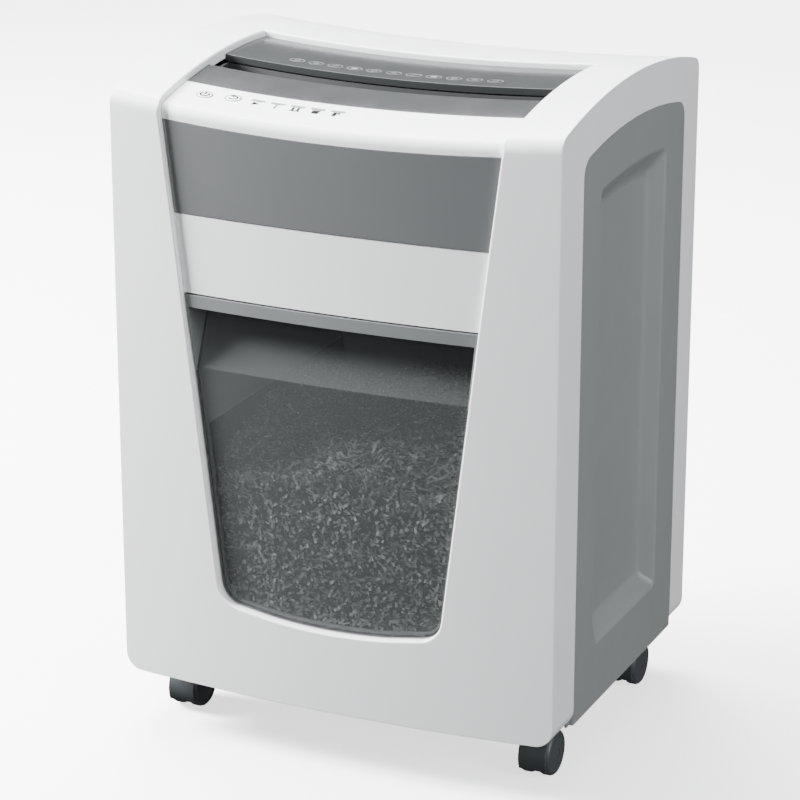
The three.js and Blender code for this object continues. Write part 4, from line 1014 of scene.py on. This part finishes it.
def turned(points, x, y, angle):
    """Outline points turned about a place."""
    c, s = math.cos(math.radians(angle)), math.sin(math.radians(angle))
    return [(x + (u - x) * c - (v - y) * s, y + (u - x) * s + (v - y) * c) for u, v in points]


def build_button(name, seat, body, node):
    """An oval key with a slightly domed, rounded top."""
    head = settings().head
    x, y = seat
    surface = arch_height(y, head.drop)
    a, b = head.button_size
    top = surface + 0.0006
    rim = prism("rim", oval(x, y, a + 0.0015, b + 0.0015, 36), "Z", surface - 0.0075, surface - 0.006)
    key = prism(name, oval(x, y, a, b, 36), "Z", surface - 0.0061, top)
    round_selected(key, lambda p, q: min(p[2], q[2]) > top - 1e-6, 0.0007, 3)
    join(key, rim)
    for vertex in key.data.vertices:
        vertex.co.z += arch_height(vertex.co.y, head.drop) - surface
    bow(key, spacing=0.004)
    finish(key, body, "inner_white", [node], "shell white")


def build_key_marks():
    """A power sign and a turned-back arrow on the two keys, each with a fine outline."""
    head = settings().head
    for name, seat, body in (("power_mark", head.power_seat, "power_key"),
                             ("reverse_mark", head.reverse_seat, "reverse_key")):
        x, y = seat
        if name == "power_mark":
            shapes = [ring_shape("arc", x, y - 0.0003, 0.0047, 0.0034, 0.0015, sides=24, start=125, end=415),
                      flat_shape("bar", rectangle(x - 0.0008, x + 0.0008, y - 0.0002, y + 0.0038))]
        else:
            point = [(x - 0.0040, y + 0.0024), (x + 0.0002, y + 0.0045), (x + 0.0002, y + 0.0004)]
            shapes = [ring_shape("arc", x, y, 0.0045, 0.0033, 0.0014, sides=24, start=-150, end=95),
                      flat_shape("point", point)]
        mark = lay_on_top(merge(name, shapes), key_print_rise)
        bow(mark, spacing=0.004)
        finish(mark, body, "black_plastic", look="printed mark")
    a, b = head.button_size[0] + 0.0010, head.button_size[1] + 0.0010
    rings = [lay_on_top(ring_shape("ring", *seat, a, b, 0.0005), print_rise)
             for seat in (head.power_seat, head.reverse_seat)]
    outline = merge("key_outlines", rings)
    bow(outline, spacing=0.004)
    finish(outline, "cabinet", "grip_grey", look="outline print")


# Plain signs in front of the lights, each of one or more outlines about its middle.
LIGHT_SIGNS = (
    [[(-0.0031, -0.0026), (0.0034, 0), (-0.0031, 0.0026)]],
    [rectangle(-0.0007, 0.0007, -0.0028, 0.0008), oval(0, 0.0021, 0.0008, 0.0007, 12)],
    [rectangle(-0.0034, -0.0012, -0.0012, 0.0028), rectangle(0.0012, 0.0034, -0.0012, 0.0028),
     rectangle(-0.0044, 0.0044, -0.0030, -0.0016)],
    [[(-0.0028, -0.0027), (0.0028, -0.0027), (0.0035, 0.0027), (-0.0035, 0.0027)]],
    [rectangle(-0.0028, 0.0006, -0.0028, 0.0028, 0.0004), rectangle(0.0011, 0.0032, 0.0004, 0.0028)],
)


def build_lights():
    """Short grey bars, each with a small sign in front of it."""
    head = settings().head
    y = head.lens_back
    bars, signs = [], []
    for index, x in enumerate(lens_places()):
        a, b = head.lens_size[0] / 2, head.lens_size[1] / 2
        bars.append(prism("bar", rectangle(x - a, x + a, y - b, y + b, 0.0004), "Z", -0.004, 0.0002))
        bars.append(flat_shape("line", rectangle(x - 0.0062, x + 0.0062, y - 0.0011, y + 0.0012), 0.0003))
        v = y - 0.0052
        for shape in LIGHT_SIGNS[min(index, len(LIGHT_SIGNS) - 1)]:
            signs.append(flat_shape("sign", [(x + a, v + b) for a, b in shape]))
    lens = lay_on_top(merge("light_bars", bars), 0)
    bow(lens, spacing=0.004)
    finish(lens, "cabinet", "grip_grey", ["indicator_lens"])
    sign = lay_on_top(merge("light_signs", signs), print_rise)
    bow(sign, spacing=0.004)
    finish(sign, "cabinet", "black_plastic", look="printed mark")


def build_rear_marks():
    """A row of small outlined ovals with plain signs on the rear trim."""
    head = settings().head
    y = head.mark_back
    shapes = []
    for index in range(head.mark_count):
        x = (index - (head.mark_count - 1) / 2) * head.mark_pitch
        shapes.append(ring_shape("ring", x, y, 0.0068, 0.0042, 0.0005, sides=28))
        kind = index % 4
        if kind == 0:
            shapes.append(ring_shape("disc", x, y, 0.0026, 0.0019, 0.0006, sides=20))
        elif kind == 1:
            shapes.append(flat_shape("sheet", rectangle(x - 0.0026, x + 0.0026, y - 0.0010, y - 0.0003)))
            shapes.append(flat_shape("sheet", rectangle(x - 0.0022, x + 0.0022, y + 0.0008, y + 0.0014)))
        elif kind == 2:
            clip = rectangle(x - 0.0028, x + 0.0028, y - 0.0004, y + 0.0004)
            shapes.append(flat_shape("clip", turned(clip, x, y, 35)))
        else:
            card = rectangle(x - 0.0026, x + 0.0026, y - 0.0016, y + 0.0016, 0.0004)
            shapes.append(flat_shape("card", card))
    marks = lay_on_top(merge("rear_marks", shapes), print_rise)
    bow(marks, spacing=0.006)
    finish(marks, "cabinet", "grip_grey", look="light print")


# ---------------------------------------------------------------- bin


def window_profile():
    sizes = settings().bin
    front, wall, crease = sizes.window_recess, sizes.window_wall, sizes.crease_height
    rise = sizes.window_top - crease
    slope = math.hypot(1, sizes.lean)
    inner = crease - wall * (slope - 1) / sizes.lean
    return [(front, 0), (front + wall, 0), (front + wall, inner),
            (front + wall * slope + rise * sizes.lean, sizes.window_top),
            (front + rise * sizes.lean, sizes.window_top), (front, crease)]


def cheek_back():
    """How far back the cheeks reach."""
    sizes = settings().bin
    return sizes.window_recess + (sizes.window_top - sizes.crease_height) * sizes.lean + 0.004


def between_cheeks(clearance):
    """The room between the cheeks, which stand along the sides of the opening."""
    sizes = settings().bin
    outline = opening_outline(sizes.gap + sizes.cheek + clearance, sizes.grip_top + 0.001)
    return prism("between", outline, "Y", -0.02, 0.1)


def cheek_rooms():
    """The room that the cheeks need, with a gap round them."""
    sizes, gap = settings().bin, settings().cabinet.gap
    rooms = block("rooms", -half_width, half_width, 0, cheek_back() + gap, sizes.crease_height - 0.004,
                  sizes.grip_top)
    return cut(rooms, between_cheeks(gap))


def build_window():
    sizes = settings().bin
    window = prism("window", window_profile(), "X", -half_width, half_width)
    keep(window, prism("outline", opening_outline(sizes.gap, sizes.window_top), "Y", -0.02, 0.08))
    cut(window, cheek_rooms())
    bow(window, spacing=0.008)
    finish(window, "bin", "smoked_window", ["bin_window"], angle=20)


def build_grip():
    sizes, gap = settings().bin, settings().cabinet.gap
    back = cheek_back()
    front = sizes.window_recess - 0.002
    low = sizes.crease_height - 0.003
    deep = sizes.window_recess + sizes.grip_depth
    top = sizes.grip_top - gap
    section = [(front, sizes.grip_bottom), (deep, sizes.grip_bottom + 0.002), (deep, top), (front, top)]
    bar = prism("grip", section, "X", -half_width, half_width)
    side = [(sizes.window_recess, low), (sizes.window_recess + 0.005, low), (back, sizes.window_top),
            (back, top), (front, top), (front, sizes.grip_bottom)]
    join(bar, cut(prism("cheeks", side, "X", -half_width, half_width), between_cheeks(0)))
    keep(bar, prism("outline", opening_outline(sizes.gap, sizes.grip_top), "Y", -0.02, 0.1))
    round_sharp(bar, 0.0007, 3, 40)
    bow(bar)
    finish(bar, "bin", "grip_grey", ["bin_grip"])


def above_tub_floor(wall):
    """The room above the tub's floor: low at the toe behind the window, higher over the runners."""
    sizes = settings().bin
    room = block("room", -half_width, half_width, -0.01, depth(), sizes.tub_floor + wall, 0.34)
    toe = block("toe", -half_width, half_width, -0.011, sizes.toe_depth - wall, sizes.toe_bottom + wall,
                0.339)
    return join(room, toe)


def build_tub():
    sizes, gap = settings().bin, settings().cabinet.gap
    back = depth() - sizes.tub_to_back
    profile = window_profile()
    behind = [(y + gap, z) for y, z in profile[1:4]]
    far = back + 0.05
    front = [behind[0], (far, 0), (far, 0.4), (behind[2][0], 0.4), behind[2], behind[1]]
    tub = prism("tub", opening_outline(sizes.tub_inset, sizes.tub_top), "Y", 0, back)
    keep(tub, prism("front", front, "X", -half_width, half_width), above_tub_floor(0))
    inset = sizes.tub_inset + sizes.tub_wall
    hollow = prism("hollow", opening_outline(inset, sizes.tub_top + 0.01), "Y", -0.005, back - sizes.tub_wall)
    cut(tub, keep(hollow, above_tub_floor(sizes.tub_wall)), cheek_rooms())
    bow(tub)
    finish(tub, "bin", "inner_white", ["bin_tub"])


def heap_height(x, y):
    """Height of the loose paper's surface over a place in the tub."""
    sizes = settings().bin
    back = depth() - sizes.tub_to_back
    foot_at, ridge_at = 0.010, 0.150
    fall_behind, fall_beside = 0.030, 0.006
    if y < ridge_at:
        climb = fade(y, foot_at, ridge_at)
        height = sizes.heap_front + (sizes.heap_ridge - sizes.heap_front) * math.sin(climb * math.pi / 2)
    else:
        height = sizes.heap_ridge - fall_behind * fade(y, ridge_at, back)
    waves = 0.006 * math.sin(x * 23 + 0.6) + 0.004 * math.sin(x * 61 + y * 37)
    waves += 0.003 * math.sin(y * 90 - x * 40)
    return height + waves - fall_beside * (x / 0.12) ** 2


def build_heap_core():
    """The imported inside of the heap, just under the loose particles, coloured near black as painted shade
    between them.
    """
    sizes = settings().bin
    front = sizes.window_recess + sizes.window_wall + 0.0028
    back = depth() - sizes.tub_to_back - sizes.tub_wall - 0.001
    inset = sizes.tub_inset + sizes.tub_wall
    heap = prism("paper_core", opening_outline(inset + 0.0006, 0.30), "Y", front, back)
    keep(heap, above_tub_floor(sizes.tub_wall + 0.0008),
         block("level", -half_width, half_width, 0, depth(), 0, 0.28))
    divide(heap, "Y", [front + 0.008 * step for step in range(1, int((back - front) / 0.008) + 1)])
    divide(heap, "X", [0.008 * step for step in range(-16, 17)])
    for vertex in heap.data.vertices:
        if vertex.co.z > 0.279:
            vertex.co.z = heap_height(vertex.co.x, vertex.co.y) - 0.003
            side = opening_half(vertex.co.z) - inset - 0.0006
            vertex.co.x = min(max(vertex.co.x, -side), side)
    bow(heap)
    # The core's near-black colour is painted shade showing between the loose particles.
    finish(heap, "bin", "cut_paper", ["paper_shreds"], "packed paper")


def shred_shape(length_of, width, curl):
    """Points and faces of one particle, a thin closed strip with a fold in its middle."""
    thin = 0.00006
    points, faces = [], []
    for x, z in ((-0.5, 0), (0.05, curl), (0.5, 0)):
        x, z = x * length_of, z * length_of
        points += [(x, -width / 2, z - thin), (x, width / 2, z - thin), (x, width / 2, z + thin),
                   (x, -width / 2, z + thin)]
    for start in (0, 4):
        for corner in range(4):
            turn = (corner + 1) % 4
            faces.append((start + corner, start + turn, start + 4 + turn, start + 4 + corner))
    faces.append((3, 2, 1, 0))
    faces.append((8, 9, 10, 11))
    return np.array(points), faces


def tub_floor_at(x, y):
    """Height of the tub's floor inside, over a place in it."""
    sizes, cabinet = settings().bin, settings().cabinet
    inset = sizes.tub_inset + sizes.tub_wall
    low = sizes.toe_bottom if y < sizes.toe_depth - sizes.tub_wall else sizes.tub_floor
    radius = cabinet.opening_floor_radius - inset
    curve = cabinet.opening_bottom + cabinet.opening_floor_radius - math.sqrt(radius**2 - x**2)
    return max(curve, low + sizes.tub_wall)


def held_in_tub(points):
    """Shifts a whole particle until it lies behind the window and between the tub's walls."""
    sizes = settings().bin
    low, high = points.min(axis=0), points.max(axis=0)
    front = sizes.window_recess + sizes.window_wall + 0.0006
    back = depth() - sizes.tub_to_back - sizes.tub_wall - 0.0006
    side = opening_half(low[2]) - sizes.tub_inset - sizes.tub_wall - 0.0006
    reach = min(max(-low[0], high[0]), side)
    floor = tub_floor_at(reach, low[1]) + 0.0006
    return points + (max(-side - low[0], 0) + min(side - high[0], 0),
                     max(front - low[1], 0) + min(back - high[1], 0),
                     max(floor - low[2], 0))


def scatter(name, count, seed, place_of):
    """One mesh of many folded particles, each turned and shaded by chance."""
    sizes = settings().bin
    chance = random.Random(seed)
    points, faces, shades = [], [], []
    for _ in range(count):
        place, lean, spin = place_of(chance)
        shape, sides = shred_shape(sizes.shred_length * chance.uniform(0.5, 1.2),
                                   sizes.shred_width * chance.uniform(0.7, 1.1), chance.uniform(-0.03, 0.03))
        turn = Euler(lean).to_matrix() @ Matrix.Rotation(spin, 3, "Z")
        start = len(points) * len(shape)
        points.append(held_in_tub(shape @ np.array(turn).T + np.array(place)))
        faces += [tuple(start + index for index in side) for side in sides]
        shades += [chance.random()] * len(shape)
    mesh = bpy.data.meshes.new(name)
    mesh.from_pydata(np.concatenate(points).tolist(), [], faces)
    shade = mesh.attributes.new("shade", "FLOAT", "POINT")
    shade.data.foreach_set("value", shades)
    piece = bpy.data.objects.new(name, mesh)
    bpy.context.scene.collection.objects.link(piece)
    return piece


def build_shreds():
    sizes = settings().bin
    front = sizes.window_recess + sizes.window_wall + 0.0006
    back = depth() - sizes.tub_to_back - sizes.tub_wall - 0.004

    def inside_half(z):
        return opening_half(z) - sizes.tub_inset - sizes.tub_wall - 0.0015

    def against_window(chance):
        while True:
            z = chance.uniform(0.075, sizes.heap_ridge)
            x = chance.uniform(-1, 1) * inside_half(z)
            if tub_floor_at(x, front) + 0.001 < z < heap_height(x, front) + 0.003:
                break
        lean = (math.pi / 2 + chance.gauss(0, 0.35), chance.gauss(0, 0.2), chance.gauss(0, 0.2))
        return (x, front + 0.0022 + chance.random() * 0.004, z), lean, chance.uniform(0, math.pi)

    def on_surface(chance):
        y = front + 0.004 + (back - front - 0.004) * chance.random()
        x = chance.uniform(-1, 1) * inside_half(sizes.heap_front)
        z = heap_height(x, y) - 0.001 + chance.random() * 0.005
        lean = (chance.gauss(0, 0.4), chance.gauss(0, 0.4), 0)
        return (x, y, z), lean, chance.uniform(0, math.pi)

    for name, seed, place_of in (("shreds_front_1", 4, against_window), ("shreds_front_2", 5, against_window),
                                 ("shreds_top_1", 9, on_surface), ("shreds_top_2", 10, on_surface)):
        finish(carry(scatter(name, sizes.shred_count, seed, place_of)), "bin", "cut_paper")


# ---------------------------------------------------------------- casters


def spun(name, profile, sides=48):
    """A solid turned about the X axis, from an outline of places along it and radii."""
    piece = outline_start(name, profile, lambda x, radius: (x, 0, radius))
    edit(piece)
    bpy.ops.mesh.delete(type="ONLY_FACE")
    bpy.ops.mesh.select_all(action="SELECT")
    bpy.ops.mesh.spin(steps=sides, angle=2 * math.pi, center=(0, 0, 0), axis=(1, 0, 0), use_auto_merge=False)
    bpy.ops.mesh.select_all(action="SELECT")
    bpy.ops.mesh.remove_doubles(threshold=1e-6)
    bpy.ops.mesh.normals_make_consistent(inside=False)
    done()
    return piece


def wheel_profile(side):
    """Section of one wheel: a rounded tread, a raised rim and a dished outer face with a hub."""
    caster = settings().caster
    radius, width = caster.wheel_radius, caster.wheel_width
    inner = (caster.wheel_spacing - width) / 2
    points = [(0, 0.0031), (0, radius - 0.0018), (0.0006, radius - 0.0005), (0.0020, radius),
              (width - 0.0040, radius), (width - 0.0022, radius - 0.0006), (width - 0.0010, radius - 0.0020),
              (width - 0.0006, radius - 0.0034), (width - 0.0012, radius - 0.0042),
              (width - 0.0014, radius - 0.0052), (width - 0.0002, 0.0075), (width, 0.0050), (width, 0.0031)]
    return [(side * (inner + x), r) for x, r in points]


def build_wheels(corner, seat, trail, axle_height):
    caster = settings().caster
    wheels = [spun("wheel", wheel_profile(side)) for side in (-1, 1)]
    reach = caster.wheel_spacing / 2 + caster.wheel_width / 2
    axle = spun("axle", [(-reach, 0.0001), (-reach, 0.0026), (-reach + 0.0004, 0.0030),
                         (reach - 0.0004, 0.0030), (reach, 0.0026), (reach, 0.0001)], 24)
    pair = merge(f"caster_{corner}_wheel_pair", [*wheels, axle])
    finish(pair, f"caster_{corner}_pair", "black_plastic", [f"caster_{corner}_wheels"],
           at=(seat[0], seat[1] + trail, axle_height))


def fender_side(radius, trail, axle_height, first=-28, last=92, steps=20):
    """An arc about the axle, from behind its level up and over the wheels, in degrees."""
    angles = [math.radians(first + (last - first) * step / steps) for step in range(steps + 1)]
    return [(trail - radius * math.cos(t), axle_height + radius * math.sin(t)) for t in angles]


def build_hood(corner, seat, trail, axle_height):
    """The fork: a curved fender over both wheels, a web between them and a hub for the swivel."""
    caster = settings().caster
    inner = caster.wheel_radius + caster.clearance
    outer = inner + caster.hood_wall
    half = caster.hood_half
    web_half = (caster.wheel_spacing - caster.wheel_width) / 2 - caster.clearance
    outside, inside = (fender_side(radius, trail, axle_height) for radius in (outer, inner))
    hood = prism(f"caster_{corner}_fork", outside + inside[::-1], "X", -half, half)
    round_sharp(hood, 0.0007, 3, 50)
    core = fender_side(inner + 0.001, trail, axle_height)
    web = prism("web", [(trail + 0.005, axle_height - 0.004), *core], "X", -web_half, web_half)
    hub = prism("hub", oval(0, 0, 0.008, 0.008, 32), "Z", -0.0132, -0.0012)
    join(hood, web, hub)
    cut(hood, prism("bore", oval(trail, axle_height, 0.0034, 0.0034, 24), "X", -half, half),
        prism("pin", oval(0, 0, 0.0044, 0.0044, 24), "Z", -0.0144, 0.01))
    finish(hood, f"caster_{corner}_fork", "black_plastic", [f"caster_{corner}_hood"], at=(*seat, 0))


def build_casters():
    caster = settings().caster
    for corner in ("fl", "fr", "bl", "br"):
        low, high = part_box(f"caster_{corner}_stem")
        seat = ((low.x + high.x) / 2, (low.y + high.y) / 2 - front_place())
        axle_height = caster.wheel_radius - floor_height
        build_wheels(corner, seat, caster.trail, axle_height)
        build_hood(corner, seat, caster.trail, axle_height)


def build_keys():
    head = settings().head
    build_button("power_key_cap", head.power_seat, "power_key", "power_button")
    build_button("reverse_key_cap", head.reverse_seat, "reverse_key", "reverse_button")


# ---------------------------------------------------------------- the machine inside


def finish_inner_parts():
    """Gives the CAD nodes that stay their materials."""
    slots = {part["node"]: part["material_slot"] for part in frame["record"]["subparts"]}
    for name, node in frame["nodes"].items():
        if node.hide_render:
            continue
        node.data.materials.clear()
        node.data.materials.append(material_of(LOOK_OF_SLOT[slots[name]]))


# ---------------------------------------------------------------- floor, lights and camera


def soft_light(name, place, target, size, power, tint=(1, 1, 1)):
    """A rectangular studio light that faces a target."""
    pick()
    bpy.ops.object.light_add(type="AREA", location=place)
    light = bpy.context.object
    light.name = name
    light.data.shape = "RECTANGLE"
    light.data.size, light.data.size_y = size
    light.data.energy = power
    light.data.color = tint
    direction = Vector(target) - Vector(place)
    light.rotation_euler = direction.to_track_quat("-Z", "Y").to_euler()
    return light


def build_backdrop():
    """A pale floor that sweeps up into a pale wall, seamless at the turn."""
    reach, rise, turn = 6.0, 5.0, 1.5
    wall_at = 4.0
    outline = rounded([(-reach, 0), (wall_at, 0, turn), (wall_at, rise), (wall_at + 0.02, rise),
                       (wall_at + 0.02, -0.02), (-reach, -0.02)], 24)
    sweep = prism("backdrop", outline, "X", -reach, reach)
    pick(sweep)
    bpy.ops.object.shade_smooth_by_angle(angle=math.radians(30))
    paper, shader = new_material("pale paper", (0.93, 0.93, 0.93), 0.9)
    shader.inputs["Emission Color"].default_value = (1, 1, 1, 1)
    shader.inputs["Emission Strength"].default_value = 1.6
    sweep.data.materials.append(paper)
    sweep.visible_diffuse = False
    sweep.visible_glossy = False


def build_camera():
    """A long lens, to the right of the front and a little above the top."""
    yaw, pitch, distance = math.radians(24.66), math.radians(19.27), 2.628
    target = Vector((-0.0034, 0.140 + front_place(), 0.2238 + floor_height))
    back = Vector((math.sin(yaw) * math.cos(pitch), -math.cos(yaw) * math.cos(pitch), math.sin(pitch)))
    pick()
    bpy.ops.object.camera_add(location=target + back * distance)
    camera = bpy.context.object
    camera.name = "camera"
    camera.rotation_euler = (-back).to_track_quat("-Z", "Y").to_euler()
    camera.data.lens = 140.4
    camera.data.sensor_width = 36
    camera.data.clip_end = 50
    bpy.context.scene.camera = camera


def build_stage():
    build_backdrop()
    middle = (0, 0, 0.3)
    soft_light("key light", (-2.5, -0.72, 2.0), (0, -0.1, 0.35), (1.2, 1.2), 720)
    soft_light("top light", (-0.9, 0.9, 2.9), middle, (2.0, 2.0), 300)
    soft_light("front light", (1.1, -3.4, 1.3), middle, (2.0, 2.0), 50, (0.97, 0.985, 1))
    soft_light("right light", (3.0, -0.8, 1.6), middle, (1.4, 2.2), 105, (0.97, 0.985, 1))
    soft_light("wall light", (0.0, 1.2, 3.6), (0, 4.0, 1.4), (3.0, 1.0), 180)
    world = bpy.data.worlds.new("studio")
    bpy.context.scene.world = world
    world.use_nodes = True
    world.node_tree.nodes["Background"].inputs["Color"].default_value = (0.95, 0.97, 1, 1)
    world.node_tree.nodes["Background"].inputs["Strength"].default_value = 0.12
    build_camera()


# ---------------------------------------------------------------- operators


class SHREDDER_OT_shell(bpy.types.Operator):
    """The white shell with its front and top opening"""

    bl_idname = "shredder.shell"
    bl_label = "Shell"

    def execute(self, context):
        build_shell()
        return {"FINISHED"}


class SHREDDER_OT_side_panels(bpy.types.Operator):
    """The two grey side panels with their recesses"""

    bl_idname = "shredder.side_panels"
    bl_label = "Side Panels"

    def execute(self, context):
        build_side_panels()
        return {"FINISHED"}


class SHREDDER_OT_rear_cover(bpy.types.Operator):
    """The vented rear cover"""

    bl_idname = "shredder.rear_cover"
    bl_label = "Rear Cover"

    def execute(self, context):
        build_rear_cover()
        return {"FINISHED"}


class SHREDDER_OT_head_cover(bpy.types.Operator):
    """The white cover over the cutting head"""

    bl_idname = "shredder.head_cover"
    bl_label = "Head Cover"

    def execute(self, context):
        build_head_cover()
        return {"FINISHED"}


class SHREDDER_OT_front_band(bpy.types.Operator):
    """The gloss band across the head"""

    bl_idname = "shredder.front_band"
    bl_label = "Front Band"

    def execute(self, context):
        build_front_band()
        return {"FINISHED"}


class SHREDDER_OT_top_trims(bpy.types.Operator):
    """The gloss plates before and behind the feed slot"""

    bl_idname = "shredder.top_trims"
    bl_label = "Top Trims"

    def execute(self, context):
        build_top_trims()
        return {"FINISHED"}


class SHREDDER_OT_feed_guide(bpy.types.Operator):
    """The funnel under the feed slot"""

    bl_idname = "shredder.feed_guide"
    bl_label = "Feed Guide"

    def execute(self, context):
        build_feed_guide()
        return {"FINISHED"}


class SHREDDER_OT_keys(bpy.types.Operator):
    """The power and reverse keys"""

    bl_idname = "shredder.keys"
    bl_label = "Keys"

    def execute(self, context):
        build_keys()
        return {"FINISHED"}


class SHREDDER_OT_key_marks(bpy.types.Operator):
    """The signs on the keys and their outlines"""

    bl_idname = "shredder.key_marks"
    bl_label = "Key Marks"

    def execute(self, context):
        build_key_marks()
        return {"FINISHED"}


class SHREDDER_OT_lights(bpy.types.Operator):
    """The indicator lights and their signs"""

    bl_idname = "shredder.lights"
    bl_label = "Lights"

    def execute(self, context):
        build_lights()
        return {"FINISHED"}


class SHREDDER_OT_rear_marks(bpy.types.Operator):
    """The row of small signs on the rear trim"""

    bl_idname = "shredder.rear_marks"
    bl_label = "Rear Marks"

    def execute(self, context):
        build_rear_marks()
        return {"FINISHED"}


class SHREDDER_OT_window(bpy.types.Operator):
    """The smoked bin window"""

    bl_idname = "shredder.window"
    bl_label = "Window"

    def execute(self, context):
        build_window()
        return {"FINISHED"}


class SHREDDER_OT_grip(bpy.types.Operator):
    """The grip bar and its cheeks"""

    bl_idname = "shredder.grip"
    bl_label = "Grip"

    def execute(self, context):
        build_grip()
        return {"FINISHED"}


class SHREDDER_OT_tub(bpy.types.Operator):
    """The bin's tub"""

    bl_idname = "shredder.tub"
    bl_label = "Tub"

    def execute(self, context):
        build_tub()
        return {"FINISHED"}


class SHREDDER_OT_heap(bpy.types.Operator):
    """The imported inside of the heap"""

    bl_idname = "shredder.heap"
    bl_label = "Paper Heap"

    def execute(self, context):
        build_heap_core()
        return {"FINISHED"}


class SHREDDER_OT_shreds(bpy.types.Operator):
    """The loose cut particles on the heap"""

    bl_idname = "shredder.shreds"
    bl_label = "Shreds"

    def execute(self, context):
        build_shreds()
        return {"FINISHED"}


class SHREDDER_OT_casters(bpy.types.Operator):
    """The four twin-wheel casters"""

    bl_idname = "shredder.casters"
    bl_label = "Casters"

    def execute(self, context):
        build_casters()
        return {"FINISHED"}


class SHREDDER_OT_inner_parts(bpy.types.Operator):
    """Finishes of the machine inside the cabinet"""

    bl_idname = "shredder.inner_parts"
    bl_label = "Inner Parts"

    def execute(self, context):
        finish_inner_parts()
        return {"FINISHED"}


class SHREDDER_OT_stage(bpy.types.Operator):
    """Floor, backdrop, lights and camera"""

    bl_idname = "shredder.stage"
    bl_label = "Stage"

    def execute(self, context):
        build_stage()
        return {"FINISHED"}


PIECE_OPERATORS = (
    SHREDDER_OT_shell,
    SHREDDER_OT_side_panels,
    SHREDDER_OT_rear_cover,
    SHREDDER_OT_head_cover,
    SHREDDER_OT_front_band,
    SHREDDER_OT_top_trims,
    SHREDDER_OT_feed_guide,
    SHREDDER_OT_keys,
    SHREDDER_OT_key_marks,
    SHREDDER_OT_lights,
    SHREDDER_OT_rear_marks,
    SHREDDER_OT_window,
    SHREDDER_OT_grip,
    SHREDDER_OT_tub,
    SHREDDER_OT_heap,
    SHREDDER_OT_shreds,
    SHREDDER_OT_casters,
    SHREDDER_OT_inner_parts,
    SHREDDER_OT_stage,
)


class SHREDDER_PT_pieces(bpy.types.Panel):
    """Lists the shredder's sizes and pieces"""

    bl_idname = "SHREDDER_PT_pieces"
    bl_label = "Paper Shredder"
    bl_space_type = "VIEW_3D"
    bl_region_type = "UI"
    bl_category = "Shredder"

    def draw(self, context):
        for group in ("cabinet", "head", "bin", "caster", "finish"):
            box = self.layout.box()
            box.label(text=group.title())
            values = getattr(context.scene.shredder, group)
            for name in type(values).__annotations__:
                box.prop(values, name)
        column = self.layout.column(align=True)
        for operator in PIECE_OPERATORS:
            column.operator(operator.bl_idname)


CLASSES = (
    CabinetSizes,
    HeadSizes,
    BinSizes,
    CasterSizes,
    FinishColours,
    ShredderSettings,
    *PIECE_OPERATORS,
    SHREDDER_PT_pieces,
)


def register():
    for kind in CLASSES:
        bpy.utils.register_class(kind)
    bpy.types.Scene.shredder = PointerProperty(type=ShredderSettings)


def unregister():
    del bpy.types.Scene.shredder
    for kind in reversed(CLASSES):
        bpy.utils.unregister_class(kind)


def main():
    register()
    for operator in PIECE_OPERATORS:
        getattr(bpy.ops.shredder, operator.bl_idname.split(".")[1])()
    pick()


if __name__ == "__main__":
    main()
